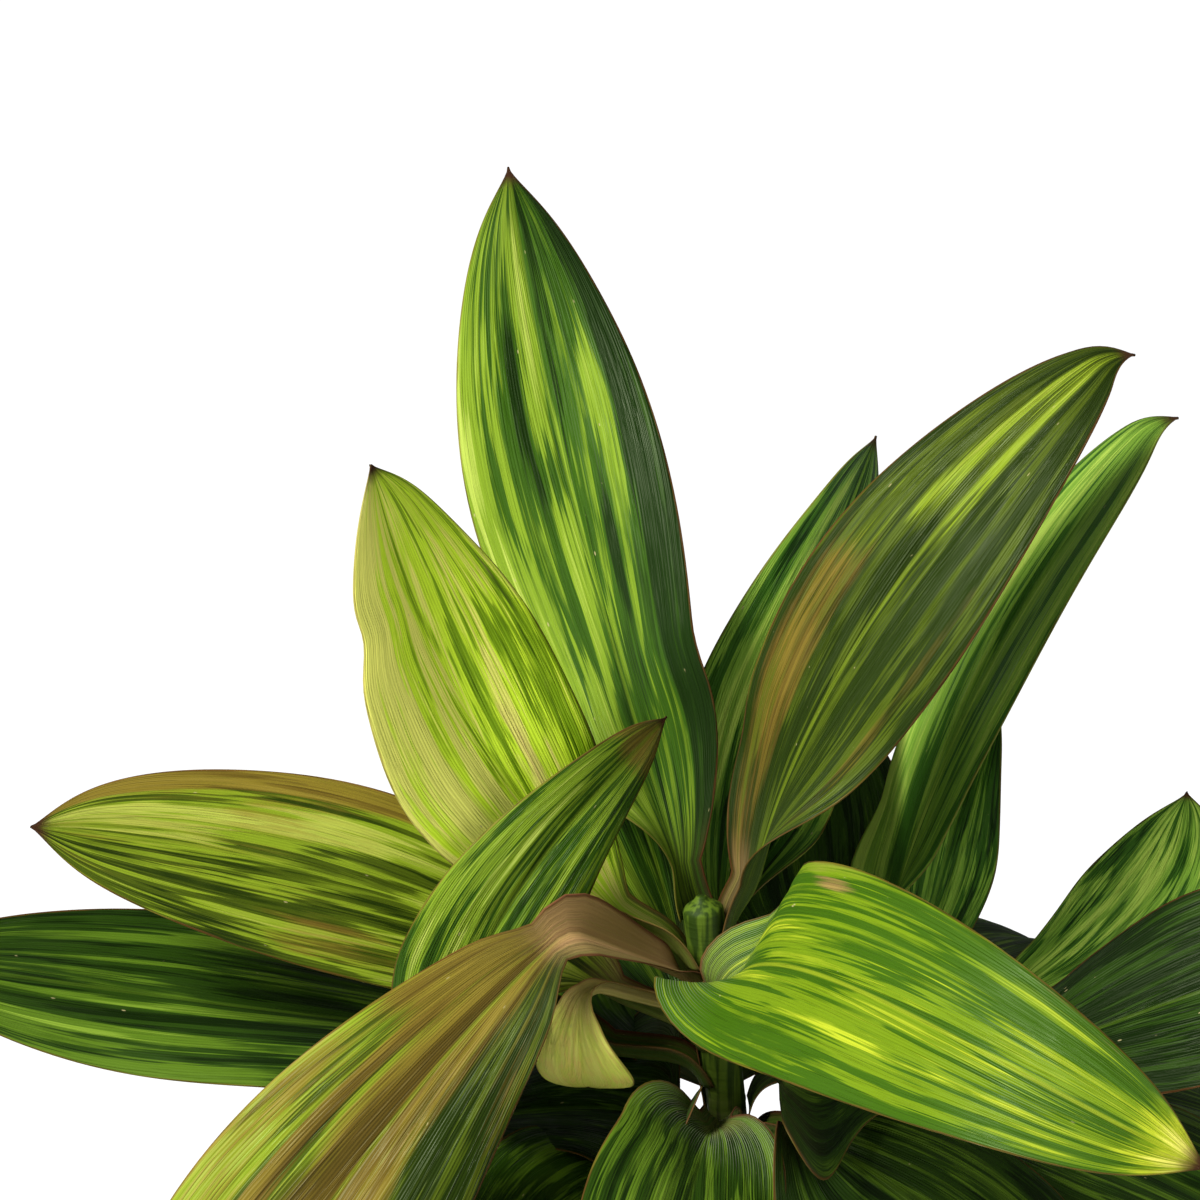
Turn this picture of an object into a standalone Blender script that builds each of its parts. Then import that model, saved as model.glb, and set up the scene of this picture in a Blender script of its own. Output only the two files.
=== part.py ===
"""Potted cordyline: three leafy canes standing in the soil of a plain round pot.

Metres, +Z up. The origin is the centre of the pot's flat underside, and the plant's front looks along -Y.
"""

import math
from typing import NamedTuple

import bmesh
import bpy
import numpy as np
from mathutils import Vector

MM = 0.001
SEAT_GAP = 0.3 * MM
WELD = 0.001 * MM

# Pot: a plain tapered shell with a thicker band round its mouth and drain holes in its floor
POT_HEIGHT = 150 * MM
POT_FOOT_RADIUS = 56 * MM
POT_SHOULDER_RADIUS = 76 * MM
POT_BAND_RADIUS = 83 * MM
POT_BAND_HEIGHT = 28 * MM
POT_WALL = 6 * MM
POT_FLOOR = 8 * MM
POT_EDGE = 1.5 * MM
POT_SIDES = 48
DRAIN_COUNT = 4
DRAIN_RADIUS = 5 * MM
DRAIN_CIRCLE = 34 * MM

# Soil: fills the pot up to below the mouth, slightly heaped and uneven
SOIL_TOP = 135 * MM
SOIL_HEAP = 5 * MM
SOIL_RINGS = 5
SOIL_SIDES = 36

# Canes: the bare lower stems, ringed by old leaf scars, with a bud at the crown
CANE_RADIUS = 7.4 * MM
CANE_SCAR = 0.5 * MM
CANE_BURIED = 40 * MM
CANE_SIDES = 12
CANE_SCAR_STEP = 13 * MM
CANE_BEND = 0.25
BUD_HEIGHT = 5 * MM
BUD_RADIUS = 2 * MM


class Cane(NamedTuple):
    """Where a cane leaves the soil and where its crown ends, in millimetres."""

    foot: tuple
    top: tuple


CANES = {
    "main": Cane(foot=(36, 4, 135), top=(16, 0, 323)),
    "right": Cane(foot=(44, 36, 135), top=(71, 47, 272)),
    "left": Cane(foot=(-50, -24, 135), top=(-90, -39, 256)),
}

# Leaves: a sheath clasps the cane, a channelled stalk leads off, and the blade opens from it
SHEATH = 14 * MM
SHEATH_GAP = 0.5 * MM
NECK = 18 * MM
STALK_HALF_WIDTH = 7.5 * MM
SHEATH_FLARE = 22.0
STALK_CREASE = 24.0
BLADE_CREASE = 18.0
BLADE_ARCH = -12.0
EDGE_THICKNESS = 0.9 * MM
RIB_THICKNESS = 3.0 * MM
TIP_RIB_THICKNESS = 1.4 * MM
SHEATH_RIB_THICKNESS = 1.0 * MM
RIB_GROWTH = 20 * MM
CLASP_EXTRA = 1.0 * MM
TIP_HALF_WIDTH = 0.8 * MM
LEAF_RINGS = 14
LEAF_COLUMNS = 4
STEPS = 300


class Leaf(NamedTuple):
    """One leaf. Lengths are millimetres, angles are degrees.

    height is its base above the floor, azimuth is from +X towards +Y, and turn is how far the blade swings.
    lift is the stalk's rise above level, and rise is the blade's at its base, middle and tip.
    roll leans the blade about its own rib, at its base and at its tip, and stalk_roll does so for the stalk.
    stalk_taper is how much narrower the stalk is at the cane, as a share.
    """

    cane: str
    tone: str
    height: float
    azimuth: float
    turn: float
    stalk: float
    lift: float
    blade: float
    width: float
    rise: tuple
    roll: tuple = (0, 0)
    base_fullness: float = 0.95
    tip_fullness: float = 1.0
    stalk_half: float = STALK_HALF_WIDTH / MM
    wrap: float = 66
    hook: float = 0
    stalk_roll: float = 0
    stalk_taper: float = 0


LEAVES = {
    # Crown of the main cane, from the top down
    "leaf_tall": Leaf(
        "main", "green", 318, 127, -16, 6, 78, 266, 83, (63, 52, 69), (71, 14), 0.89, 1.09, stalk_half=9
    ),
    "leaf_right_high": Leaf(
        "main", "bronze", 310, 10, 7, 8, 58, 242, 68,
        (77, 52, 36), (-40, -34), 0.91, 1.1, stalk_half=9, hook=40
    ),
    "leaf_lime": Leaf(
        "main", "lime", 302, 187, 16, 20, 31, 196, 82,
        (47, 67, 76), (74, 50), tip_fullness=0.85, stalk_half=9, wrap=45
    ),
    "leaf_right_rear": Leaf(
        "main", "green", 296, 66, -12, 8, 60, 191, 64, (64, 40, 53), (-30, -80), 0.6, 1.11, stalk_half=9
    ),
    "leaf_front_left": Leaf(
        "main", "bronze", 292, 221, -15, 60, 31, 256, 92,
        (-25, -51, -57), (53, 40), 1.42, 0.96, stalk_half=14, wrap=40, stalk_roll=30, stalk_taper=0.45
    ),
    "leaf_curled": Leaf(
        "main", "lime", 278, 224, 45, 53, 27, 50, 38,
        (-60, -115, -140), (-12, -1), 1.12, 0.65, stalk_half=5, wrap=35
    ),
    "leaf_front_right": Leaf(
        "main", "lime", 281, -84, 60, 14, 19, 260, 75,
        (51, -12, -17), (-59, -41), 0.57, 0.96, stalk_half=11, wrap=78, stalk_roll=-86, stalk_taper=0.15
    ),
    "leaf_left": Leaf(
        "main", "bronze", 269, 182, 11, 24, 24, 222, 71, (35, 15, 11), (54, 51), 0.8, 0.85, stalk_half=8
    ),
    "leaf_back_a": Leaf("main", "green", 259, 118, 0, 24, 55, 190, 80, (60, 40, 0), (0, 0), 0.7),
    "leaf_left_low": Leaf(
        "main", "dark", 254, 179, 10, 24, 6, 264, 74, (6, 10, 13), (17, 57), 0.8, 0.95, stalk_half=8
    ),
    "leaf_back_b": Leaf("main", "green", 244, 123, 0, 12, 42, 180, 84, (44, 18, -25), (0, 0), 0.55, 0.9),
    "leaf_inner_right": Leaf(
        "main", "dark", 242, -2, 0, 5, 15, 66, 64, (14, 6, -10), (-18, -18), 0.3, 0.9, stalk_half=9, wrap=10
    ),
    "leaf_front": Leaf(
        "main", "dark", 235, -100, 6, 22, 17, 180, 78, (14, -17, -57), (39, 1), 0.92, 0.99, stalk_half=8
    ),
    "leaf_inner_left": Leaf("main", "dark", 228, 186, 0, 5, 14, 78, 74, (17, 4, -16), (8, 8), 0.25, 0.9),
    "leaf_right_low": Leaf(
        "main", "dark", 227, -38, 20, 18, 8, 176, 74, (-4, -34, -62), (-26, -16), 0.6, 0.94, stalk_half=8
    ),
    "leaf_back_c": Leaf(
        "main", "dark", 220, 98, 0, 14, 27, 170, 78, (32, 8, -35), (0, 0), 0.4, 0.9, wrap=20
    ),
    "leaf_front_low": Leaf("main", "dark", 213, 232, 0, 14, 10, 125, 80, (12, -12, -45), (20, 20)),
    # Crown of the right cane
    "leaf_right_slim": Leaf(
        "right", "green", 263, 6, 6, 12, 81, 235, 56,
        (80, 63, 49), (-9, -12), 0.65, 0.82, stalk_half=8, hook=40
    ),
    "leaf_right_edge": Leaf(
        "right", "green", 254, 19, -23, 17, 36, 109, 40, (67, 89, 61), (-74, -43), 0.87, 1.21, stalk_half=6
    ),
    "leaf_shade": Leaf("right", "dark", 247, 116, -27, 8, 68, 148, 66, (68, 58, 40), (0, 0), 0.6, 0.9),
    "leaf_far_right": Leaf(
        "right", "green", 242, 6, 4, 50, 13, 116, 51, (23, 33, 95), (-39, -60), 1.26, 1.12, stalk_half=8
    ),
    "leaf_right_side": Leaf(
        "right", "dark", 233, -19, 7, 44, 6, 183, 78, (28, 34, 10), (-37, -51), 1.05, 0.89, stalk_half=8
    ),
    "leaf_back_d": Leaf("right", "dark", 225, 54, -10, 14, 34, 160, 68, (26, -5, -45), (0, 0), 0.6, 0.9),
    "leaf_right_under": Leaf("right", "dark", 218, -26, 10, 24, 8, 170, 70, (6, -10, -40), (-15, -15)),
    "leaf_back_e": Leaf("right", "dark", 212, 92, 0, 20, 8, 150, 84, (8, -8, -30)),
    "leaf_right_foot": Leaf("right", "dark", 205, 4, 0, 24, 25, 165, 66, (15, -8, -40)),
    # Crown of the left cane
    "leaf_left_upright": Leaf(
        "left", "green", 246, 7, 38, 15, 74, 154, 56, (86, 44, 27), (-76, -86), 0.45, 1.21, stalk_half=8
    ),
    "leaf_left_hanging": Leaf("left", "green", 237, 214, 0, 20, 2, 165, 66, (-30, -55, -75)),
    "leaf_back_f": Leaf("left", "dark", 222, 60, 0, 20, -5, 140, 60, (-15, -40, -60)),
    "leaf_left_front": Leaf("left", "green", 221, -107, 0, 20, 9, 150, 64, (-16, -48, -66)),
    "leaf_left_rear": Leaf("left", "dark", 213, 150, 0, 20, 10, 150, 60, (-5, -35, -55)),
}

LEAF_TONES = {
    "lime": (0.42, 0.50, 0.10),
    "green": (0.16, 0.26, 0.06),
    "bronze": (0.24, 0.22, 0.07),
    "dark": (0.05, 0.11, 0.03),
}
LEAF_ROUGHNESS = 0.35


def clear_scene():
    for obj in list(bpy.data.objects):
        bpy.data.objects.remove(obj, do_unlink=True)


def plain_material(name, colour, roughness):
    material = bpy.data.materials.new(name)
    material.use_nodes = True
    shader = material.node_tree.nodes["Principled BSDF"]
    shader.inputs["Base Color"].default_value = (*colour, 1.0)
    shader.inputs["Roughness"].default_value = roughness
    shader.inputs["Metallic"].default_value = 0.0
    return material


def add_object(name, bm, material=None):
    """Make an object of a finished bmesh, smooth but for its sharp edges."""
    bmesh.ops.recalc_face_normals(bm, faces=bm.faces)
    mesh = bpy.data.meshes.new(name)
    bm.to_mesh(mesh)
    bm.free()
    mesh.shade_smooth()
    mesh.set_sharp_from_angle(angle=math.radians(40))
    obj = bpy.data.objects.new(name, mesh)
    bpy.context.scene.collection.objects.link(obj)
    if material is not None:
        mesh.materials.append(material)
    return obj


def add_cutter(name, bm):
    cutter = add_object(name, bm)
    cutter.hide_render = True
    cutter.display_type = "WIRE"
    return cutter


def cut(obj, cutter):
    modifier = obj.modifiers.new(cutter.name, "BOOLEAN")
    modifier.operation = "DIFFERENCE"
    modifier.solver = "EXACT"
    modifier.object = cutter


def smoothstep(value):
    value = np.clip(value, 0.0, 1.0)
    return value * value * (3.0 - 2.0 * value)


def turned(profile, sides):
    """Turn an outline of (radius, height) points round +Z. Its first and last points lie on the axis."""
    bm = bmesh.new()
    points = [bm.verts.new((radius, 0.0, height)) for radius, height in profile]
    edges = [bm.edges.new(pair) for pair in zip(points, points[1:])]
    bmesh.ops.spin(
        bm,
        geom=points + edges,
        cent=(0, 0, 0),
        axis=(0, 0, 1),
        angle=2 * math.pi,
        steps=sides,
        use_merge=True,
    )
    bmesh.ops.remove_doubles(bm, verts=bm.verts, dist=WELD)
    return bm


def pot_outer_radius(height):
    share = height / (POT_HEIGHT - POT_BAND_HEIGHT)
    return POT_FOOT_RADIUS + (POT_SHOULDER_RADIUS - POT_FOOT_RADIUS) * share


def pot_inner_radius(height):
    return pot_outer_radius(height) - POT_WALL


def make_pot():
    band_low = POT_HEIGHT - POT_BAND_HEIGHT
    mouth_radius = pot_inner_radius(POT_HEIGHT)
    profile = [
        (0.0, 0.0),
        (POT_FOOT_RADIUS - POT_EDGE, 0.0),
        (POT_FOOT_RADIUS, POT_EDGE),
        (POT_SHOULDER_RADIUS, band_low),
        (POT_BAND_RADIUS - POT_EDGE, band_low),
        (POT_BAND_RADIUS, band_low + POT_EDGE),
        (POT_BAND_RADIUS, POT_HEIGHT - POT_EDGE),
        (POT_BAND_RADIUS - POT_EDGE, POT_HEIGHT),
        (mouth_radius + POT_EDGE, POT_HEIGHT),
        (mouth_radius, POT_HEIGHT - POT_EDGE),
        (pot_inner_radius(POT_FLOOR), POT_FLOOR),
        (0.0, POT_FLOOR),
    ]
    clay = plain_material("pot", (0.50, 0.22, 0.13), 0.8)
    pot = add_object("pot", turned(profile, POT_SIDES), clay)

    drains = bmesh.new()
    for index in range(DRAIN_COUNT):
        angle = 2 * math.pi * (index + 0.5) / DRAIN_COUNT
        hole = bmesh.ops.create_cone(
            drains,
            cap_ends=True,
            segments=16,
            radius1=DRAIN_RADIUS,
            radius2=DRAIN_RADIUS,
            depth=3 * POT_FLOOR,
        )
        centre = Vector((DRAIN_CIRCLE * math.cos(angle), DRAIN_CIRCLE * math.sin(angle), POT_FLOOR / 2))
        bmesh.ops.translate(drains, verts=hole["verts"], vec=centre)
    cut(pot, add_cutter("cut_pot_drains", drains))
    return pot


def cane_course(cane):
    """Return a function of the share from soil to crown that gives the cane's centre and its direction."""
    foot = np.array(cane.foot) * MM
    top = np.array(cane.top) * MM
    span = top - foot

    def course(share):
        lean = share - CANE_BEND * share * (1.0 - share)
        slope = 1.0 - CANE_BEND * (1.0 - 2.0 * share)
        centre = foot + span * np.array([lean, lean, share])
        direction = span * np.array([slope, slope, 1.0])
        return centre, direction / np.linalg.norm(direction)

    return course


def cane_share(cane, height):
    return (height - cane.foot[2] * MM) / ((cane.top[2] - cane.foot[2]) * MM)


def swept(course, stations, sides):
    """Sweep circles along a course. Each station is a share of the course, a radius, and a rise past it."""
    bm = bmesh.new()
    rings = []
    for share, radius, beyond in stations:
        centre, direction = course(share)
        turn = Vector((0, 0, 1)).rotation_difference(Vector(direction)).to_matrix()
        circle = bmesh.ops.create_circle(bm, segments=sides, radius=radius)["verts"]
        bmesh.ops.rotate(bm, verts=circle, cent=(0, 0, 0), matrix=turn)
        bmesh.ops.translate(bm, verts=circle, vec=Vector(centre + direction * beyond))
        rings.append({edge for vert in circle for edge in vert.link_edges})
    for lower, upper in zip(rings, rings[1:]):
        bmesh.ops.bridge_loops(bm, edges=list(lower | upper))
    bmesh.ops.holes_fill(bm, edges=bm.edges, sides=sides)
    return bm


def make_cane(name, cane):
    course = cane_course(cane)
    length = (cane.top[2] - cane.foot[2]) * MM
    bottom = -CANE_BURIED / length
    lowest_leaf = min(leaf.height for leaf in LEAVES.values() if leaf.cane == name)
    scars = int(cane_share(cane, lowest_leaf * MM) * length / CANE_SCAR_STEP)
    stations = [(bottom, CANE_RADIUS - CANE_SCAR, 0.0)]
    for index in range(scars):
        scar = (index + 0.3) * CANE_SCAR_STEP
        stations.append((scar / length, CANE_RADIUS - CANE_SCAR, 0.0))
        stations.append(((scar + 0.3 * CANE_SCAR_STEP) / length, CANE_RADIUS, 0.0))
        stations.append(((scar + 0.4 * CANE_SCAR_STEP) / length, CANE_RADIUS - CANE_SCAR, 0.0))
    stations.append((1.0, CANE_RADIUS - CANE_SCAR, 0.0))
    stations.append((1.0, (CANE_RADIUS + BUD_RADIUS) / 2, BUD_HEIGHT / 2))
    stations.append((1.0, BUD_RADIUS, BUD_HEIGHT))
    bark = plain_material(f"cane_{name}", (0.16, 0.10, 0.06), 0.7)
    return add_object(f"cane_{name}", swept(course, stations, CANE_SIDES), bark)


def make_soil():
    bottom = POT_FLOOR + SEAT_GAP
    side = [(pot_inner_radius(height) - SEAT_GAP, height) for height in (bottom, SOIL_TOP)]
    top = [(side[-1][0] * (1 - ring / SOIL_RINGS), SOIL_TOP) for ring in range(1, SOIL_RINGS)]
    profile = [(0.0, bottom), *side, *top, (0.0, SOIL_TOP)]
    bm = turned(profile, SOIL_SIDES)
    edge_radius = side[-1][0]
    for vert in bm.verts:
        if vert.co.z < SOIL_TOP - WELD:
            continue
        reach = 1.0 - min(1.0, vert.co.xy.length / edge_radius) ** 2
        lumps = math.sin(vert.co.x * 170 + 1.3) * math.cos(vert.co.y * 150 - 0.4)
        vert.co.z += SOIL_HEAP * reach * (1.0 + 0.4 * lumps)
    soil = add_object("soil", bm, plain_material("soil", (0.06, 0.04, 0.025), 0.95))
    for name, cane in CANES.items():
        length = (cane.top[2] - cane.foot[2]) * MM
        bottom_share = -(CANE_BURIED + SEAT_GAP) / length
        stations = [(share, CANE_RADIUS + SEAT_GAP, 0.0) for share in (bottom_share, 0.0, 0.2)]
        cut(soil, add_cutter(f"cut_soil_{name}", swept(cane_course(cane), stations, CANE_SIDES)))
    return soil


def quadratic(low, middle, high, share):
    return (1 - share) ** 2 * low + 2 * share * (1 - share) * middle + share**2 * high


def unit_rows(vectors):
    return vectors / np.linalg.norm(vectors, axis=-1, keepdims=True)


def leaf_line(leaf, along):
    """Centre line of a leaf: its points, and unit vectors across it and out of its upper face."""
    stalk_end = SHEATH + leaf.stalk * MM
    length = stalk_end + leaf.blade * MM
    at = (np.arange(STEPS) + 0.5) / STEPS * length
    on_blade = np.clip((at - stalk_end) / (leaf.blade * MM), 0, 1)

    opened = smoothstep((at - stalk_end) / NECK + 0.5)
    rise = leaf.lift * (1 - opened) + quadratic(*leaf.rise, on_blade) * opened
    rise = np.radians(rise - leaf.hook * smoothstep((on_blade - 0.92) / 0.08))
    azimuth = np.radians(leaf.azimuth + leaf.turn * on_blade)
    roll_in = smoothstep((at - SHEATH) / (stalk_end - SHEATH + 0.3 * leaf.blade * MM))
    roll_on = smoothstep((on_blade - 0.2) / 0.8)
    lean = smoothstep((at - SHEATH / 2) / NECK) * (1 - smoothstep((at - stalk_end + NECK / 2) / (2 * NECK)))
    roll = leaf.roll[0] * roll_in + (leaf.roll[1] - leaf.roll[0]) * roll_on + leaf.stalk_roll * lean
    roll = np.radians(roll)

    level = np.stack([np.cos(azimuth), np.sin(azimuth), np.zeros(STEPS)], axis=1)
    up = np.array([0.0, 0.0, 1.0])
    forward = np.cos(rise)[:, None] * level + np.sin(rise)[:, None] * up
    face = -np.sin(rise)[:, None] * level + np.cos(rise)[:, None] * up
    across = np.cross(forward, face)
    face = np.cos(roll)[:, None] * face - np.sin(roll)[:, None] * across

    cane = CANES[leaf.cane]
    centre, axis = cane_course(cane)(cane_share(cane, leaf.height * MM))
    outward = np.array([math.cos(math.radians(leaf.azimuth)), math.sin(math.radians(leaf.azimuth)), 0.0])
    outward = outward - (outward @ axis) * axis
    outward /= np.linalg.norm(outward)
    flare = math.radians(SHEATH_FLARE)
    clasp = math.cos(flare) * axis + math.sin(flare) * outward
    free = smoothstep(at / (1.6 * SHEATH))[:, None]
    forward = unit_rows((1 - free) * clasp + free * forward)
    face = (free - 1) * outward + free * face
    face = unit_rows(face - (face * forward).sum(axis=1, keepdims=True) * forward)
    across = np.cross(forward, face)

    base = centre + (CANE_RADIUS + SHEATH_GAP) * outward
    line = np.vstack([base, base + np.cumsum(forward * (length / STEPS), axis=0)])
    marks = np.linspace(0, length, STEPS + 1)
    points = np.stack([np.interp(along, marks, line[:, k]) for k in range(3)], axis=1)
    across = np.stack([np.interp(along, at, across[:, k]) for k in range(3)], axis=1)
    face = np.stack([np.interp(along, at, face[:, k]) for k in range(3)], axis=1)
    return points, unit_rows(across), unit_rows(face)


def leaf_half_width(leaf, along, on_blade):
    """Half width of the leaf: a narrow stalk, then a long oval blade that draws in to a fine tip."""
    peak = leaf.base_fullness / (leaf.base_fullness + leaf.tip_fullness)
    oval = (on_blade / peak) ** leaf.base_fullness * ((1 - on_blade) / (1 - peak)) ** leaf.tip_fullness
    grown = smoothstep((along - SHEATH / 2) / (leaf.stalk * MM))
    stalk = leaf.stalk_half * MM * (1 - leaf.stalk_taper * (1 - grown))
    swell = (leaf.width * MM / 2 - stalk) * oval
    drawn_in = np.minimum(1.0, (1 - on_blade) / 0.1)
    clasp = CLASP_EXTRA * (1 - smoothstep(along / (SHEATH + RIB_GROWTH / 2)))
    return np.maximum(stalk * drawn_in + swell + clasp, TIP_HALF_WIDTH)


def leaf_faces(leaf, rings, columns):
    """Upper face of the leaf as a grid of points, the normals there, and the thickness below each point."""
    stalk_end = SHEATH + leaf.stalk * MM
    length = stalk_end + leaf.blade * MM
    even = np.linspace(0, 1, rings + 1)
    along = length * (even - 0.5 * np.sin(2 * math.pi * even) / (2 * math.pi))
    on_blade = np.clip((along - stalk_end) / (leaf.blade * MM), 0, 1)
    points, across, face = leaf_line(leaf, along)
    half = leaf_half_width(leaf, along, on_blade)

    flat = smoothstep(on_blade / 0.22)
    crease = (STALK_CREASE * (1 - flat) + BLADE_CREASE * flat) * smoothstep(along / (1.5 * SHEATH))
    edge = leaf.wrap * (1 - flat) + BLADE_ARCH * flat
    sides = np.linspace(-1, 1, columns + 1)
    grid = np.zeros((rings + 1, columns + 1, 3))
    for column, side in enumerate(sides):
        reach = abs(side) * (np.arange(12) + 0.5) / 12
        tilt = np.radians(crease[:, None] + (edge - crease)[:, None] * reach)
        out = np.cos(tilt).mean(axis=1) * abs(side) * half
        lift = np.sin(tilt).mean(axis=1) * abs(side) * half
        grid[:, column] = points + np.sign(side) * out[:, None] * across + lift[:, None] * face

    normals = unit_rows(np.cross(np.gradient(grid, axis=0), np.gradient(grid, axis=1)))
    facing = np.sign((normals * face[:, None, :]).sum(axis=(1, 2)).sum())
    rib = SHEATH_RIB_THICKNESS + (RIB_THICKNESS - SHEATH_RIB_THICKNESS) * smoothstep(along / RIB_GROWTH)
    rib = rib - (RIB_THICKNESS - TIP_RIB_THICKNESS) * smoothstep(on_blade / 0.5)
    near_rib = np.clip(1 - 1.6 * np.abs(sides), 0, 1)
    thickness = EDGE_THICKNESS + (rib - EDGE_THICKNESS)[:, None] * near_rib[None, :]
    return grid, facing * normals, thickness


def make_leaf(name, leaf):
    """Shape a flat sheet to the leaf's upper face, then extrude it down to its thickness."""
    grid, normals, thickness = leaf_faces(leaf, LEAF_RINGS, LEAF_COLUMNS)
    bm = bmesh.new()
    bmesh.ops.create_grid(bm, x_segments=LEAF_COLUMNS, y_segments=LEAF_RINGS, size=0.5)
    bmesh.ops.triangulate(bm, faces=bm.faces, quad_method="FIXED")
    drop = bm.verts.layers.float_vector.new("drop")
    for vert in bm.verts:
        column = round((vert.co.x + 0.5) * LEAF_COLUMNS)
        ring = round((vert.co.y + 0.5) * LEAF_RINGS)
        vert.co = grid[ring, column]
        vert[drop] = normals[ring, column] * thickness[ring, column]
    made = bmesh.ops.extrude_face_region(bm, geom=list(bm.faces), use_keep_orig=True)["geom"]
    for vert in (element for element in made if isinstance(element, bmesh.types.BMVert)):
        vert.co -= vert[drop]
    bm.verts.layers.float_vector.remove(drop)
    bmesh.ops.triangulate(bm, faces=[face for face in bm.faces if len(face.verts) > 3])
    return add_object(name, bm, plain_material(name, LEAF_TONES[leaf.tone], LEAF_ROUGHNESS))


def main():
    clear_scene()
    make_pot()
    make_soil()
    for name, cane in CANES.items():
        make_cane(name, cane)
    for name, leaf in LEAVES.items():
        make_leaf(name, leaf)


main()
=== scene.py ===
"""Looks of the potted cordyline: striped waxy leaves on ringed canes, dark potting mix and a clay pot."""

import math
import random
from typing import NamedTuple

import bmesh
import bpy
import numpy as np
from mathutils import Matrix, Vector, noise


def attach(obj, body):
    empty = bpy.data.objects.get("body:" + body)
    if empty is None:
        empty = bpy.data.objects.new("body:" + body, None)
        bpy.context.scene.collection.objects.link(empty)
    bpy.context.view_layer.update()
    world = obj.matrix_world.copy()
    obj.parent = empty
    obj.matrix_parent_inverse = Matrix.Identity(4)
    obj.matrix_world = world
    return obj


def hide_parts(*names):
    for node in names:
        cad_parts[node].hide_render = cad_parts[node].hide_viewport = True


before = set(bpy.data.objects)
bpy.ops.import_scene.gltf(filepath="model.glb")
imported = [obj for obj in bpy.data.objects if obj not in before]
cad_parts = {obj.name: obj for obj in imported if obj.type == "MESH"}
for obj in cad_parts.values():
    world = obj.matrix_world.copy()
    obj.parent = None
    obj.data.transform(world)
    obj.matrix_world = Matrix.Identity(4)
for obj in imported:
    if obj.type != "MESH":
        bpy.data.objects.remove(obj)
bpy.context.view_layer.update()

MM = 0.001


def vec(values):
    return Vector([float(value) for value in values])


def smoothstep(value):
    value = np.clip(value, 0.0, 1.0)
    return value * value * (3.0 - 2.0 * value)


def unit_rows(vectors):
    return vectors / np.linalg.norm(vectors, axis=-1, keepdims=True)


def add_piece(name, bm, material, node):
    """A finished mesh becomes a piece that rides on the part and stands for its node."""
    mesh = bpy.data.meshes.new(name)
    bm.to_mesh(mesh)
    bm.free()
    mesh.shade_smooth()
    mesh.materials.append(material)
    piece = bpy.data.objects.new(name, mesh)
    bpy.context.scene.collection.objects.link(piece)
    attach(piece, "root")
    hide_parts(node)
    return piece


# Camera, light and floor

VIEW_TARGET = (-0.021, 0.0, 0.44)
VIEW_DISTANCE = 1.25
VIEW_ELEVATION = math.radians(18)
VIEW_WIDTH = 0.42
SENSOR = 36.0
FLOOR_SIZE = 40.0
# How bright the white surroundings are as a light, and as the camera sees them above the floor's horizon
SKY_LIGHT = 0.26
SKY_SEEN = 1.1


def aim(obj, target):
    obj.rotation_euler = (vec(target) - obj.location).to_track_quat("-Z", "Y").to_euler()


def place_camera():
    data = bpy.data.cameras.new("camera")
    data.sensor_width = SENSOR
    data.lens = SENSOR * VIEW_DISTANCE / VIEW_WIDTH
    data.clip_end = 100.0
    camera = bpy.data.objects.new("camera", data)
    reach = Vector((0, -math.cos(VIEW_ELEVATION), math.sin(VIEW_ELEVATION))) * VIEW_DISTANCE
    camera.location = vec(VIEW_TARGET) + reach
    aim(camera, VIEW_TARGET)
    bpy.context.scene.collection.objects.link(camera)
    bpy.context.scene.camera = camera


def add_light(name, kind, place, target, power, **settings):
    data = bpy.data.lights.new(name, kind)
    data.energy = power
    for key, value in settings.items():
        setattr(data, key, value)
    light = bpy.data.objects.new(name, data)
    light.location = place
    aim(light, target)
    bpy.context.scene.collection.objects.link(light)


def light_studio():
    crown = (0.0, 0.0, 0.35)
    add_light("key_left", "SUN", (-1.5, -1.0, 2.4), crown, 3.9, angle=math.radians(18))
    add_light("window_left", "AREA", (-1.1, -0.9, 1.2), crown, 9, shape="RECTANGLE", size=0.35, size_y=0.6)
    world = bpy.data.worlds.new("studio")
    world.use_nodes = True
    nodes = Nodes(world.node_tree)
    seen = nodes.node("ShaderNodeLightPath").outputs["Is Camera Ray"]
    background = world.node_tree.nodes["Background"]
    background.inputs["Color"].default_value = (1.0, 1.0, 1.0, 1.0)
    nodes.feed(background.inputs["Strength"], nodes.step(seen, 0.0, 1.0, SKY_LIGHT, SKY_SEEN))
    bpy.context.scene.world = world
    bpy.context.scene.view_settings.view_transform = "Standard"


def lay_floor():
    bm = bmesh.new()
    bmesh.ops.create_grid(bm, x_segments=1, y_segments=1, size=FLOOR_SIZE / 2)
    mesh = bpy.data.meshes.new("floor")
    bm.to_mesh(mesh)
    bm.free()
    floor = bpy.data.objects.new("floor", mesh)
    bpy.context.scene.collection.objects.link(floor)
    mesh.materials.append(floor_paint())


# Shader building blocks


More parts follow.
